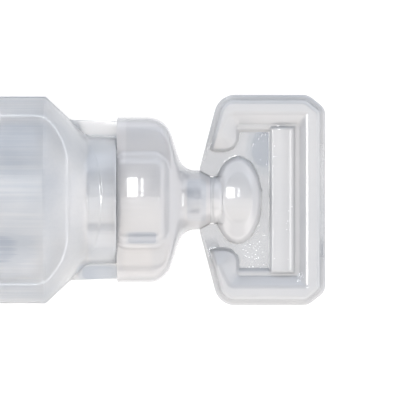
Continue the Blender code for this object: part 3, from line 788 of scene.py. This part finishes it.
def waterline():
    """Points (x, y, z) in metres, once round the headspace."""
    at, table = offset_inside(WALL)
    upper = (ANGLES > 0.0) & (ANGLES < pi / 2)
    side = []
    for station, ring in zip(at, table):
        height = level_at(station)
        z = (ring * SIN)[upper]
        y = (ring * COS)[upper]
        order = np.argsort(z)
        if station > HEADSPACE_END or z.max() < height:
            break
        side.append((station, np.interp(height, z[order], y[order]), height))
    whole = side + [(x, -y, z) for x, y, z in reversed(side)]
    return [((BASE_X + x) * MM, y * MM, (AXIS_Z + z) * MM) for x, y, z in whole]


# %% Bead, as a node tree
def bead_tree():
    """Sweeps a round profile along the edges of a mesh."""
    tree, given = new_geometry_tree("bead along a path", {"Geometry": "Geometry", "Radius": 0.0})
    path = output_of(tree, "GeometryNodeMeshToCurve", {"Mesh": given["Geometry"]})
    circle = {"Resolution": 8, "Radius": given["Radius"]}
    profile = output_of(tree, "GeometryNodeCurvePrimitiveCircle", circle)
    sweep = output_of(tree, "GeometryNodeCurveToMesh", {"Curve": path, "Profile Curve": profile})
    return finish_tree(tree, given, sweep)


BEAD_RADIUS = 0.1
path_points = waterline()
path_mesh = bpy.data.meshes.new("waterline_path")
path_edges = [(i, (i + 1) % len(path_points)) for i in range(len(path_points))]
path_mesh.from_pydata(path_points, path_edges, [])
bead = apply_tree("level_bead", bead_tree(), {"Radius": BEAD_RADIUS * MM, "Material": BEAD_GLOW}, path_mesh)

# %% [markdown]
# ## The twist-off tab
# The tab is alike on both faces and flat apart from low relief. Extruded boxes with bevels would miss
# its slopes, so it is a map of heights over its outline. Each height is a step, a dome or a slope that
# starts at the edge of a flat shape, so all it needs is how far a point lies inside that shape.

# %% Flat outlines
def both_sides(corners):
    """Corners on one side of the axis, followed by the same ones on the other side."""
    return corners + [(x, -y, radius) for x, y, radius in reversed(corners)]


def depth_inside(x, y, outline):
    """Distance of points to an outline, positive inside it."""
    nearest = np.full(x.shape, 1e9)
    crossings = np.zeros(x.shape, dtype=int)
    for (ax, ay), (bx, by) in zip(outline, np.roll(outline, -1, axis=0)):
        length = (bx - ax) ** 2 + (by - ay) ** 2
        if length < 1e-12:
            continue
        share = np.clip(((x - ax) * (bx - ax) + (y - ay) * (by - ay)) / length, 0.0, 1.0)
        away = np.hypot(x - ax - share * (bx - ax), y - ay - share * (by - ay))
        nearest = np.minimum(nearest, away)
        if by != ay:
            spans = (ay > y) != (by > y)
            at = ax + (y - ay) / (by - ay) * (bx - ax)
            crossings += np.where(spans & (x < at), 1, 0)
    return np.where(crossings % 2 == 1, nearest, -nearest)


# %% Sizes of the tab
TAB_HALF_WIDTH = tab_high[1] / MM
TAB_BACK = tab_low[0] / MM - BASE_X
TAB_FOOT = MOUTH + 0.42
TAB_SHOULDER = MOUTH + 0.9
SIDE_GAP = 0.03
STUB_RADIUS = 2.35
TIP_HALF_WIDTH = 3.23
FILM = 0.22
FLANGE = 0.35
FLANGE_WIDTH = 0.5
LEDGE = 0.75
FRAME_TOP = 1.7
LIP_WIDTH = 0.34
LIP_SLOPE = 0.29
RIB_TOP = 1.15
RIB_WIDTH = 2.7
RIB_HALF_LENGTH = TAB_HALF_WIDTH - 3.1
RIB_BARREL = 0.3
BULB_MIDDLE = MOUTH + 2.75
BULB_HALF_LENGTH = 2.4
BULB_HALF_WIDTH = 4.33
BULB_INNER = 0.61
BULB_TOP = 2.25
BULB_RIM = 1.0
BULB_CROWN_ALONG = 12.0
BULB_CROWN_ACROSS = 6.0


# %% Outlines of the tab and its frame
def slanted(y):
    """Station of the tab's slanted back edge at a distance from the axis."""
    share = (y - TIP_HALF_WIDTH) / (TAB_HALF_WIDTH - TIP_HALF_WIDTH)
    return TAB_BACK + share * (TAB_SHOULDER - TAB_BACK)


def frame_outline(arm, end_arm, corner, foot):
    """Inner side of one level of the C-shaped frame.

    arm and end_arm are its widths from the tab's edge, and foot is the corners round its foot. Its other
    sides run past the tab's edge, which cuts them.
    """
    beyond = 3.0
    return with_arcs(both_sides([
        (TAB_END - end_arm, TAB_HALF_WIDTH - arm, corner),
        *foot,
        (slanted(8.0) - beyond, 8.0, 0.0),
        (slanted(8.0) - beyond, TAB_HALF_WIDTH + beyond, 0.0),
        (TAB_END + beyond, TAB_HALF_WIDTH + beyond, 0.0),
    ]), closed=True)


TAB_OUTLINE = with_arcs(both_sides([
    (TAB_FOOT, STUB_RADIUS, 0.0),
    (TAB_FOOT, LIP_RADIUS + SIDE_GAP + 0.02, 0.0),
    (MOUTH, LIP_RADIUS + SIDE_GAP, 0.0),
    (TAB_BACK, NOZZLE_RADIUS + SIDE_GAP, 0.0),
    (TAB_BACK, TIP_HALF_WIDTH, 0.1),
    (TAB_SHOULDER, TAB_HALF_WIDTH, 2.1),
    (TAB_END - 1.75, TAB_HALF_WIDTH, 1.6),
    (TAB_END, TAB_HALF_WIDTH - 1.4, 1.3),
]), closed=True)
FOOT_SIDE = MOUTH + 2.75
TIP_SIDE = MOUTH + 0.75
LEDGE_OUTLINE = frame_outline(3.6, 3.3, 0.1, [(FOOT_SIDE + 0.1, 6.9, 0.1), (FOOT_SIDE, 6.0, 0.0)])
SLOPE_FOOT = frame_outline(3.0, 2.6, 0.3, [
    (FOOT_SIDE, 7.5, 0.3), (FOOT_SIDE, 4.95, 1.35), (MOUTH + 0.05, 4.95, 1.2),
])
SLOPE_TOP = frame_outline(1.7, 1.65, 0.3, [
    (MOUTH + 1.9, 8.8, 0.8), (TIP_SIDE, 6.6, 0.15), (TIP_SIDE - 0.3, 6.6, 0.1),
])


# %% Heights of the tab
def bulb_height(x, y):
    """Height of the bulb: barrelled both ways inside its inner ellipse, and leaning down to its rim."""
    away = np.hypot(x / BULB_HALF_LENGTH, y / BULB_HALF_WIDTH)
    inward = np.minimum(1.0, BULB_INNER / np.maximum(away, 1e-6))
    along = (x * inward - 0.3) ** 2 / (2 * BULB_CROWN_ALONG)
    across = (y * inward) ** 2 / (2 * BULB_CROWN_ACROSS)
    top = BULB_TOP - along - across
    lean = np.clip((away - BULB_INNER) / (1 - BULB_INNER), 0.0, 1.0)
    return (top + (BULB_RIM - top) * lean) * dome((1 - away) * BULB_HALF_LENGTH, 0.35)


def film_height(y, edge):
    """The thin web. It is thicker along the tab's edge, but not beside the nozzle."""
    thin = np.maximum(ease(edge, 0.9, 1.6), 1 - ease(np.abs(y), 3.3, 7.5))
    return FLANGE + (FILM - FLANGE) * thin


def frame_slope(x, y):
    """Height over the ledge: the flat top, a lip round its inner edge, and the slope below the lip."""
    from_foot = np.maximum(depth_inside(x, y, SLOPE_FOOT), 0.0)
    to_top = np.maximum(-depth_inside(x, y, SLOPE_TOP), 0.0)
    lip_fall = LIP_SLOPE * np.minimum(to_top, LIP_WIDTH)
    below_lip = np.maximum(to_top - LIP_WIDTH, 0.0)
    share = from_foot / np.maximum(from_foot + below_lip, 1e-6)
    return (FRAME_TOP - LEDGE - lip_fall) * share


def rib_height(x, y):
    """The grip rib, barrelled along the ampoule."""
    x = x - (TAB_END - 2.9 - RIB_WIDTH / 2)
    depth = rectangle_depth(x, y, RIB_WIDTH / 2, RIB_HALF_LENGTH, 0.1)
    barrel = 1 - RIB_BARREL * ((x + 0.15) / (RIB_WIDTH / 2)) ** 2
    return FILM + (RIB_TOP - FILM) * barrel * dome(depth, 0.3)


def stub_height(x, y):
    """The round stub behind the seal, which narrows and flattens into the bulb."""
    radius = STUB_RADIUS - 0.2 * ease(x, TAB_FOOT, TAB_FOOT + 1.2)
    flattened = 1 - 0.6 * ease(x, TAB_FOOT + 0.4, TAB_FOOT + 2.4)
    return np.where(x < BULB_MIDDLE, np.sqrt(np.maximum(radius**2 - y**2, 0.0)) * flattened, 0.0)


def tab_height(x, y):
    """Half thickness of the tab at each point, in millimetres."""
    edge = depth_inside(x, y, TAB_OUTLINE)
    past_flange = dome(edge - FLANGE_WIDTH, 0.4)
    ledge = LEDGE * ease(depth_inside(x, y, LEDGE_OUTLINE), -0.35, 0.3)
    standing = ease(depth_inside(x, y, SLOPE_FOOT), -0.25, 0.15)
    slope = standing * (LEDGE + frame_slope(x, y))
    height = np.max([
        film_height(y, edge) * dome(edge, 0.25),
        np.maximum(ledge, slope) * past_flange,
        rib_height(x, y),
        bulb_height(x - BULB_MIDDLE, y),
        stub_height(x, y),
    ], axis=0)
    at_stub = (np.abs(y) < STUB_RADIUS) & (x < TAB_FOOT + 0.02)
    return np.where((edge > 1e-4) | at_stub, height, 0.0)


def is_thick(x, y, height):
    """Where the tab is anything but its flat thin web."""
    edge = depth_inside(x, y, TAB_OUTLINE)
    return (np.abs(height - film_height(y, edge)) > 0.01) | (height > 0.3)


# %% [markdown]
# The map lies on rows across the tab. Its columns follow the slanted back edge on the left and the
# cut corners on the right, and stand straight between, along the rib and the frame. A plain square grid
# would leave the outline with stairs.

# %% Grid of the tab
half = TAB_OUTLINE[: len(TAB_OUTLINE) // 2]
top_left = int(np.argmax(half[:, 1] >= TAB_HALF_WIDTH - 1e-6))
top_right = len(half) - 1 - int(np.argmax(half[::-1, 1] >= TAB_HALF_WIDTH - 1e-6))
left_side = half[: top_left + 1]
right_side = half[top_right:][::-1]

EDGE_BAND = 0.4
away = np.concatenate([
    np.linspace(0.0, 2.25, 20),
    STUB_RADIUS - 0.1 * np.array([0.6, 0.3, 0.1, 0.0]),
    np.linspace(2.40, 3.4, 18),
    np.linspace(3.5, TAB_HALF_WIDTH - EDGE_BAND, 68),
    TAB_HALF_WIDTH - EDGE_BAND * (1 - np.array([0.15, 0.35, 0.55, 0.72, 0.86, 0.95, 1.0])),
])
row_y = np.concatenate([-away[:0:-1], away])
left_x = np.interp(np.abs(row_y), left_side[:, 1], left_side[:, 0])
left_x = np.where(np.abs(row_y) <= STUB_RADIUS + 0.01, TAB_FOOT, left_x)
right_x = np.interp(np.abs(row_y), right_side[:, 1], right_side[:, 0])

straight_start = MOUTH + 3.1
straight_end = TAB_END - 2.15
ramp = np.linspace(0.0, 1.0, 44)
ramp = np.sort(np.concatenate([ramp, [0.003, 0.008, 0.015, 0.035]]))
middle = np.linspace(straight_start, straight_end, 74)[1:]
end_ramp = np.sort(np.concatenate([np.linspace(0.0, 1.0, 24), [0.9, 0.94, 0.965, 0.98, 0.992, 0.997]]))[1:]
grid_x = np.concatenate([
    left_x[:, None] + (straight_start - left_x[:, None]) * ramp[None, :],
    np.repeat(middle[None, :], len(row_y), axis=0),
    straight_end + (right_x[:, None] - straight_end) * end_ramp[None, :],
], axis=1)
grid_y = np.repeat(row_y[:, None], grid_x.shape[1], axis=1)
grid_h = tab_height(grid_x, grid_y)
print("tab grid", grid_x.shape, "highest", grid_h.max().round(2))


# %% Tab
def two_faced(name, x, y, height, thick):
    """A closed plate whose two faces are the same map of heights. Its thick faces take material 1."""
    rows, columns = x.shape
    total = rows * columns
    top = np.stack([x, y, height], axis=2).reshape(-1, 3)
    faces = []
    for i in range(rows - 1):
        for j in range(columns - 1):
            a = i * columns + j
            b = a + columns
            faces.append((a, a + 1, b + 1, b))
            faces.append((total + a, total + b, total + b + 1, total + a + 1))
    rim = list(range(columns))
    rim += [i * columns + columns - 1 for i in range(1, rows)]
    rim += [(rows - 1) * columns + j for j in range(columns - 2, -1, -1)]
    rim += [i * columns for i in range(rows - 2, 0, -1)]
    for a, b in zip(rim, rim[1:] + rim[:1]):
        faces.append((a, total + a, total + b, b))
    thick = np.tile(thick.ravel(), 2)
    parts = [int(any(thick[i] for i in face)) for face in faces]
    points = np.concatenate([top, top * (1, 1, -1)])
    return closed_object(name, points, faces, parts, merge=2e-8, least_edge=1e-8, sharp=48)


tab = two_faced("twist_off_tab_skin", grid_x, grid_y, grid_h, is_thick(grid_x, grid_y, grid_h))

# %% [markdown]
# ## Materials
# Natural polyethylene lets light through but scatters some of it, so it looks like thin milk. Real
# subsurface scattering would be slow and noisy in such thin walls, so a rough, half-transmitting surface
# with a clear coat stands for it. The two halves of the mould leave faint streaks along the ampoule, and
# the plastic's thickness drifts a little, which shows as soft clouds. Every plastic here shares these
# marks, so they are a group.

# %% Mould marks
CLOUD_STRENGTH = 0.5
STREAK_STRENGTH = 0.45
STREAKS_PAST_SHOULDER = 0.25
THIN_BODY = -0.12
THICK_TOP = 0.06
BODY_GLOSS = 0.08
SHOULDER_X = (BASE_X + BODY_LENGTH) * MM
WAIST_X = (BASE_X + WAIST_START) * MM


def map_range(tree, value, start, end, low=0.0, high=1.0, smooth=False):
    """low where a value is start or less, high where it is end or more."""
    inputs = {"Value": value, "From Min": start, "From Max": end, "To Min": low, "To Max": high}
    kind = "SMOOTHSTEP" if smooth else "LINEAR"
    return output_of(tree, "ShaderNodeMapRange", inputs, interpolation_type=kind)


def mould_marks():
    """A group that puts out how milky and how glossy the plastic is, and the height of fine streaks.

    It is milkier where it is thicker, from the shoulder on, and drifts a little in soft clouds. The body
    came out of the mould with less gloss than the rest, and with more streaks.
    """
    scales = {"Streak Scale": 3200.0, "Cloud Scale": 160.0}
    marks = {"Cloud": "Float", "Height": "Float", "Gloss": "Float"}
    tree, given = new_group("Shader", "mould marks", scales, marks)
    place = object_place(tree)
    x = separate(tree, place)["X"]
    along = output_of(tree, "ShaderNodeMapping", {"Vector": place, "Scale": (0.02, 1.0, 1.0)})
    streaks = noise(tree, along, given["Streak Scale"], 3.0)
    body_end = SHOULDER_X - 1.5 * MM
    shoulder = SHOULDER_X + 0.5 * MM
    fading = map_range(tree, x, body_end, shoulder, 1.0, STREAKS_PAST_SHOULDER)
    clouds = noise(tree, place, given["Cloud Scale"])
    mean = 0.5 * (1 - CLOUD_STRENGTH)
    thickness = map_range(tree, x, body_end, WAIST_X, mean + THIN_BODY, mean + THICK_TOP, smooth=True)
    milk = arithmetic(tree, "MULTIPLY_ADD", clouds, CLOUD_STRENGTH, thickness)
    streak = arithmetic(tree, "MULTIPLY", arithmetic(tree, "SUBTRACT", streaks, 0.5), fading)
    new_node(tree, "NodeGroupOutput", {
        "Cloud": arithmetic(tree, "MULTIPLY_ADD", streak, STREAK_STRENGTH, milk),
        "Height": arithmetic(tree, "MULTIPLY", streaks, fading),
        "Gloss": map_range(tree, x, shoulder, WAIST_X, BODY_GLOSS, 1.0, smooth=True),
    })
    return tree


MARKS = mould_marks()

# %% [markdown]
# Some patches of the plastic are painted darker or milkier than round about. They are painted light and
# painted shade, which stand for how the light falls through the ampoule and its saline; the bulb's also
# stands for its thicker plastic. Painting them on an image would tie them to its pixels. Here each patch
# is a superellipse: with a squareness of 2 it is an ellipse, and with 8 nearly a rectangle. The group
# puts out its mask, soft at the rim.

# %% Patches of painted light and shade
def painted_light_and_shade_mask():
    """A group that puts out 1 inside a superellipse, 0 outside it, and what is between at its rim."""
    inputs = {"Middle": "Vector", "Reach": "Vector", "Squareness": 2.0, "Softness": 0.1}
    tree, given = new_group("Shader", "painted light and shade patch", inputs, {"Mask": "Float"})
    place = object_place(tree)
    for operation, socket_name in (("SUBTRACT", "Middle"), ("DIVIDE", "Reach")):
        inputs = {0: place, 1: given[socket_name]}
        place = output_of(tree, "ShaderNodeVectorMath", inputs, operation=operation)
    share = separate(tree, place)
    along, across = (
        arithmetic(tree, "POWER", arithmetic(tree, "ABSOLUTE", share[axis]), given["Squareness"])
        for axis in "XY")
    root = arithmetic(tree, "DIVIDE", 1.0, given["Squareness"])
    distance = arithmetic(tree, "POWER", arithmetic(tree, "ADD", along, across), root)
    inner = arithmetic(tree, "SUBTRACT", 1.0, given["Softness"])
    outer = arithmetic(tree, "ADD", 1.0, given["Softness"])
    mask = map_range(tree, distance, inner, outer, 1.0, 0.0, smooth=True)
    new_node(tree, "NodeGroupOutput", {"Mask": mask})
    return tree


LIGHT_AND_SHADE_MASK = painted_light_and_shade_mask()


def with_painted_light_and_shade(tree, cloud, station, y, reach, squareness, softness, amount):
    """Paints light or shade: adds amount to how milky, and so how light, the plastic looks round a station
    and a distance y from the axis.
    """
    mask = output_of(tree, "ShaderNodeGroup", {
        "Middle": ((BASE_X + station) * MM, y * MM, 0.0),
        "Reach": (reach[0] * MM, reach[1] * MM, 1.0),
        "Squareness": squareness,
        "Softness": softness,
    }, node_tree=LIGHT_AND_SHADE_MASK)
    return arithmetic(tree, "MULTIPLY_ADD", mask, amount, cloud)


# %% Polyethylene
THINNEST = (0.77, 0.80, 0.85)
DENSEST = 1.1


def polyethylene(name, clear_tint, milky_tint, transmission, rough, coat, bump_height, light_and_shade_patches):
    """coat is the weight and the roughness of its outermost gloss. light_and_shade_patches are patches of
    painted light and shade, as with_painted_light_and_shade takes them.
    """
    material, tree, shader = new_material(name)
    marks = new_node(tree, "ShaderNodeGroup", node_tree=MARKS).outputs
    milkiness_and_painted_light = marks["Cloud"]
    # Painted light and shade: each patch makes the tint milkier and lighter, or clearer and darker.
    for place in light_and_shade_patches:
        milkiness_and_painted_light = with_painted_light_and_shade(tree, milkiness_and_painted_light, *place)
    thinnest = tuple(part * share for part, share in zip(clear_tint, THINNEST))
    densest = tuple(DENSEST * part for part in milky_tint)
    tint = colour_ramp(tree, milkiness_and_painted_light, [
        (0.0, thinnest), (0.12, clear_tint), (0.3, clear_tint), (0.7, milky_tint), (1.0, densest),
    ])
    bump = {"Strength": 1.0, "Distance": bump_height * MM, "Height": marks["Height"]}
    feed(tree, shader, {
        "Base Color": tint,
        "Roughness": map_range(tree, marks["Cloud"], 0.0, 1.0, rough * 0.8, rough * 1.2),
        "Normal": output_of(tree, "ShaderNodeBump", bump),
        "Metallic": 0.0,
        "IOR": 1.5,
        "Transmission Weight": transmission,
        "Coat Weight": arithmetic(tree, "MULTIPLY", marks["Gloss"], coat[0]),
        "Coat Roughness": coat[1],
    })
    return material


# %% Plastics of the ampoule
# Painted light and shade on the container: the web below the waist darker and the one above lighter, a
# darker zone over the waist's hollow, a darker band along the body's lower half and a lighter one along
# its upper edge.
WALL_LIGHT_AND_SHADE = [
    (42.3, -7.25, (1.9, 0.75), 4.0, 0.25, -0.55),
    (42.3, 7.25, (1.9, 0.75), 4.0, 0.25, 0.2),
    (42.9, 0.0, (1.7, 6.4), 6.0, 0.1, -0.16),
    (20.0, -4.9, (15.0, 1.8), 4.0, 0.12, -0.33),
    (12.0, 8.6, (25.0, 1.1), 6.0, 0.2, 0.25),
]
# Painted light and shade on the neck and collar: a dark rectangle over the bore in the nozzle, a darker
# patch low on the pad, and lighter patches at the collar's edge above and on its lower side.
COLLAR_LIGHT_AND_SHADE = [
    (52.05, 0.0, (0.95, 2.05), 8.0, 0.1, -0.5),
    (46.65, -3.75, (1.5, 0.6), 8.0, 0.15, -0.5),
    (44.55, 5.9, (0.5, 2.2), 6.0, 0.25, 0.3),
    (46.6, 7.75, (2.6, 0.45), 6.0, 0.3, 0.3),
    (46.2, -5.9, (1.4, 1.4), 3.0, 0.3, 0.25),
]
# Painted shade: a dark patch on the tab's thin web, beside the upper end of the rib.
FILM_PAINTED_SHADE = [
    (58.75, 5.2, (1.45, 2.3), 2.0, 0.45, -0.7),
]
# The whole bulb is painted milkier and lighter, partly as thick plastic is and partly as painted light,
# and its inner ellipse darker, as painted shade.
THICK_LIGHT_AND_SHADE = [
    (BULB_MIDDLE, 0.0, (BULB_HALF_LENGTH, BULB_HALF_WIDTH), 2.0, 0.05, 0.5),
    (BULB_MIDDLE + 0.1, 0.25, (1.45, 2.55), 2.0, 0.08, -0.35),
]
WALL_PLASTIC = polyethylene(
    "container_polyethylene", (0.54, 0.575, 0.62), (0.80, 0.80, 0.80),
    transmission=0.6, rough=0.36, coat=(1.0, 0.08), bump_height=0.02, light_and_shade_patches=WALL_LIGHT_AND_SHADE)
COLLAR_PLASTIC = polyethylene(
    "collar_polyethylene", (0.47, 0.49, 0.52), (0.55, 0.55, 0.56),
    transmission=0.4, rough=0.36, coat=(1.0, 0.06), bump_height=0.01, light_and_shade_patches=COLLAR_LIGHT_AND_SHADE)
WET_PLASTIC = polyethylene(
    "wet_polyethylene", (0.56, 0.59, 0.63), (0.72, 0.72, 0.72),
    transmission=1.0, rough=0.08, coat=(1.0, 0.06), bump_height=0.005, light_and_shade_patches=[])
FILM_PLASTIC = polyethylene(
    "thin_polyethylene", (0.43, 0.46, 0.495), (0.53, 0.54, 0.56),
    transmission=0.7, rough=0.1, coat=(1.0, 0.06), bump_height=0.002, light_and_shade_patches=FILM_PAINTED_SHADE)
THICK_PLASTIC = polyethylene(
    "thick_polyethylene", (0.36, 0.38, 0.405), (0.425, 0.435, 0.45),
    transmission=0.15, rough=0.36, coat=(0.7, 0.06), bump_height=0.002, light_and_shade_patches=THICK_LIGHT_AND_SHADE)
print("plastics:", [material.name for material in bpy.data.materials if "polyethylene" in material.name])

# %% [markdown]
# ## The seal
# The disc that closes the mouth is the thinnest plastic of all, with a notch round its rim, where it
# tears. Being the same all round, it is a cylinder whose rim is drawn in by a rule: most at
# mid-thickness, nothing at its faces. Cutting the notch with a second shape would take more steps.

# %% Seal, as a node tree
def seal_tree():
    """A disc across the ampoule's axis, notched round its rim."""
    inputs = {"Radius": 0.0, "Thickness": 0.0, "Notch": 0.0, "Station": 0.0, "Height": 0.0}
    tree, given = new_geometry_tree("notched seal", inputs)
    disc = output_of(tree, "GeometryNodeMeshCylinder", {
        "Vertices": 96, "Side Segments": 8, "Fill Segments": 3,
        "Radius": given["Radius"], "Depth": given["Thickness"],
    })
    x, y, z = separate(tree, output_of(tree, "GeometryNodeInputPosition"))
    half_thickness = arithmetic(tree, "DIVIDE", given["Thickness"], 2.0)
    to_face = arithmetic(tree, "DIVIDE", arithmetic(tree, "ABSOLUTE", z), half_thickness)
    depth = arithmetic(tree, "SUBTRACT", 1.0, to_face)
    cut = arithmetic(tree, "DIVIDE", given["Notch"], given["Radius"])
    left = arithmetic(tree, "SUBTRACT", 1.0, arithmetic(tree, "MULTIPLY", depth, cut))
    narrow = combine(
        tree, X=arithmetic(tree, "MULTIPLY", x, left), Y=arithmetic(tree, "MULTIPLY", y, left), Z=z)
    shape = output_of(tree, "GeometryNodeSetPosition", {"Geometry": disc, "Position": narrow})
    laid = output_of(tree, "GeometryNodeTransform", {
        "Geometry": shape,
        "Rotation": (0.0, pi / 2, 0.0),
        "Translation": combine(tree, X=given["Station"], Z=given["Height"]),
    })
    return finish_tree(tree, given, laid)


SEAL_OVERLAP = 0.01
SEAL_NOTCH = 0.1
seal = apply_tree("seal", seal_tree(), {
    "Radius": LIP_RADIUS * MM,
    "Thickness": (TAB_FOOT - MOUTH + 2 * SEAL_OVERLAP) * MM,
    "Notch": SEAL_NOTCH * MM,
    "Station": (BASE_X + (MOUTH + TAB_FOOT) / 2) * MM,
    "Height": AXIS_Z * MM,
    "Material": THICK_PLASTIC,
})

# %% [markdown]
# ## Bubbles
# Blow-moulding traps a little air, which leaves small bubbles just under the skin of the tab. Placing
# them by hand would be tedious, so Geometry Nodes strew them with a fixed seed, as grains with few
# faces. Their sparkle is a painted glint: the grains glow a little.

# %% Bubbles, as a node tree
def bubble_tree():
    """Grains of random size at random places in a flat box."""
    tree, given = new_geometry_tree("strewn bubbles", {
        "Count": 10, "Seed": 0, "From X": 0.0, "To X": 0.0, "From Y": 0.0, "To Y": 0.0,
        "Height": 0.0, "Smallest": 0.0, "Largest": 0.0,
    })
    low = combine(tree, X=given["From X"], Y=given["From Y"], Z=given["Height"])
    high = combine(tree, X=given["To X"], Y=given["To Y"], Z=given["Height"])
    inputs = {0: low, 1: high, "Seed": given["Seed"]}
    spread = output_of(tree, "FunctionNodeRandomValue", inputs, data_type="FLOAT_VECTOR")
    points = output_of(tree, "GeometryNodePoints", {"Count": given["Count"], "Position": spread})
    # Inputs 2 and 3 and output 1 are those for plain numbers.
    size = new_node(tree, "FunctionNodeRandomValue", {
        2: given["Smallest"], 3: given["Largest"], "Seed": arithmetic(tree, "ADD", given["Seed"], 1),
    }, data_type="FLOAT")
    ball = output_of(tree, "GeometryNodeMeshIcoSphere", {"Radius": 1.0, "Subdivisions": 2})
    strewn = {"Points": points, "Instance": ball, "Scale": size.outputs[1]}
    return finish_tree(tree, given, output_of(tree, "GeometryNodeInstanceOnPoints", strewn))


BUBBLES = bubble_tree()
SMALLEST_SHARE = 0.25


def bubbles(name, count, seed, low, high, height, largest):
    """Bubbles between two (station, y) corners, in millimetres, at a height over the axis."""
    return apply_tree(name, BUBBLES, {
        "Count": count,
        "Seed": seed,
        "From X": (BASE_X + low[0]) * MM,
        "To X": (BASE_X + high[0]) * MM,
        "From Y": low[1] * MM,
        "To Y": high[1] * MM,
        "Height": (AXIS_Z + height) * MM,
        "Smallest": SMALLEST_SHARE * largest * MM,
        "Largest": largest * MM,
        "Material": BUBBLE_GLOW,
    })


tab_bubbles = [
    bubbles("floor_bubbles", 60, 3, (56.6, -7.0), (58.9, -2.5), FILM, 0.045),
    bubbles("upper_bubbles", 24, 5, (57.4, 3.0), (59.2, 6.6), FILM, 0.032),
    bubbles("rib_bubbles", 34, 8, (59.6, -6.5), (61.6, 6.0), RIB_TOP - 0.05, 0.035),
    bubbles("corner_bubbles", 26, 13, (62.0, -8.2), (63.4, -7.2), FRAME_TOP - 0.35, 0.042),
]

# %% [markdown]
# ## Putting it together
# Each piece rides on the body of the frame that it moves with, and stands in for that body's plain
# solid. The tab's bubbles ride on the tab, so they turn and slide with it.

# %% Put the pieces together
for piece, body, materials, slot, nodes in (
    (container, "container", [WALL_PLASTIC, WET_PLASTIC, COLLAR_PLASTIC], "natural_polyethylene",
     ["container_shell"]),
    (saline, "container", [], "saline", ["saline_fill"]),
    (bead, "container", [], "saline", []),
    (seal, "seal", [], "natural_polyethylene", ["frangible_seal"]),
    (tab, "tab", [FILM_PLASTIC, THICK_PLASTIC], "natural_polyethylene", ["twist_off_tab"]),
    *((piece, "tab", [], "natural_polyethylene", []) for piece in tab_bubbles),
):
    for material in materials:
        piece.data.materials.append(material)
    piece.data.shade_smooth()
    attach(piece, body)
    if nodes:
        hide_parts(*nodes)
    print(piece.name, "rides on", body)

# %% [markdown]
# ## Floor and light
# The ampoule lies on white paper in a white tent, which lights it from all sides. Overhead the tent is
# open to a dim room, and what a clear, glossy thing shows is mostly what it mirrors: so the room has one
# warm bright strip, and two lamps shaped like window panes and two small ones give the highlights.
# Lamps alone would leave the plastic black between its highlights.

# %% Floor
scene = bpy.context.scene
scene.view_settings.view_transform = "Standard"
scene.view_settings.look = "None"

bpy.ops.mesh.primitive_plane_add(size=3.0, location=(0.0, 0.0, 0.0))
floor = bpy.context.object
floor.name = "floor"
paper, paper_tree, paper_shader = new_material("white_paper")
feed(paper_tree, paper_shader, {
    "Base Color": (0.2, 0.2, 0.2, 1.0),
    "Emission Color": (1.0, 1.0, 1.0, 1.0),
    "Emission Strength": 0.85,
    "Roughness": 0.8,
})
floor.data.materials.append(paper)


# %% Tent
TENT_BRIGHTNESS = 2.4
WARM_SIDE = (1.22, 1.16, 1.12, 1.0)
COOL_SIDE = (0.89, 0.925, 1.0, 1.0)


def mixed(tree, factor, a, b, blend="MIX"):
    """A mix of two colours. Among its sockets, 6 and 7 take the colours and output 2 gives one."""
    inputs = {0: factor, 6: a, 7: b}
    return new_node(tree, "ShaderNodeMix", inputs, data_type="RGBA", blend_type=blend).outputs[2]


def studio_world():
    """A white tent round the ampoule. Overhead, a dim room with one warm bright strip along X."""
    world = bpy.data.worlds.new("tent")
    world.use_nodes = True
    tree = world.node_tree
    direction = separate(tree, tree.nodes.new("ShaderNodeTexCoord").outputs["Generated"])
    y = direction["Y"]
    z = direction["Z"]
    tent = colour_ramp(tree, z, [
        (0.0, (0.75, 0.75, 0.76)), (0.25, (0.95, 0.95, 0.95)),
        (0.6, (1.0, 1.0, 1.0)), (0.85, (0.35, 0.35, 0.35)),
    ], "EASE")
    room = colour_ramp(tree, map_range(tree, y, -1.0, 1.0), [
        (0.08, (0.50, 0.49, 0.47)), (0.13, (0.10, 0.10, 0.11)), (0.19, (0.10, 0.10, 0.11)),
        (0.22, (0.95, 0.92, 0.86)), (0.51, (1.0, 0.98, 0.94)), (0.54, (0.06, 0.07, 0.09)),
        (0.76, (0.06, 0.07, 0.09)), (0.90, (0.40, 0.42, 0.45)),
    ], "EASE")
    whole = mixed(tree, map_range(tree, z, 0.50, 0.68, smooth=True), tent, room)
    tone = mixed(tree, map_range(tree, y, -0.8, 0.8), WARM_SIDE, COOL_SIDE)
    feed(tree, tree.nodes["Background"], {
        "Color": mixed(tree, 1.0, whole, tone, "MULTIPLY"), "Strength": TENT_BRIGHTNESS,
    })
    return world


scene.world = studio_world()


# %% Lamps
LAMP_DISTANCE = 1.1


def softbox(name, lean_x, lean_y, size, brightness):
    """A rectangular light that faces the ampoule.

    lean_x and lean_y are how far it is from straight overhead along X and Y, in degrees. Its size is
    given along X and across it. brightness is that of its surface, where the floor's is about 1.
    """
    data = bpy.data.lights.new(name, "AREA")
    data.shape = "RECTANGLE"
    data.size, data.size_y = size
    data.energy = brightness * pi * size[0] * size[1]
    lamp = bpy.data.objects.new(name, data)
    scene.collection.objects.link(lamp)
    away = Vector((tan(radians(lean_x)), tan(radians(lean_y)), 1.0)).normalized()
    along = (Vector((1.0, 0.0, 0.0)) - away * away.x).normalized()
    lamp.matrix_world = Matrix((along, away.cross(along), away)).transposed().to_4x4()
    lamp.location = Vector((PICTURE_MIDDLE[0] * MM, 0.0, AXIS_Z * MM)) + away * LAMP_DISTANCE
    lamp.visible_transmission = False
    lamp.visible_diffuse = False


softbox("window pane", -9.5, 14.0, (0.16, 0.40), 18.0)
softbox("narrow window pane", -1.5, 14.0, (0.035, 0.34), 14.0)
softbox("left lamp", -32.0, 0.0, (0.12, 0.14), 26.0)
softbox("right lamp", 32.0, 0.0, (0.12, 0.14), 8.0)
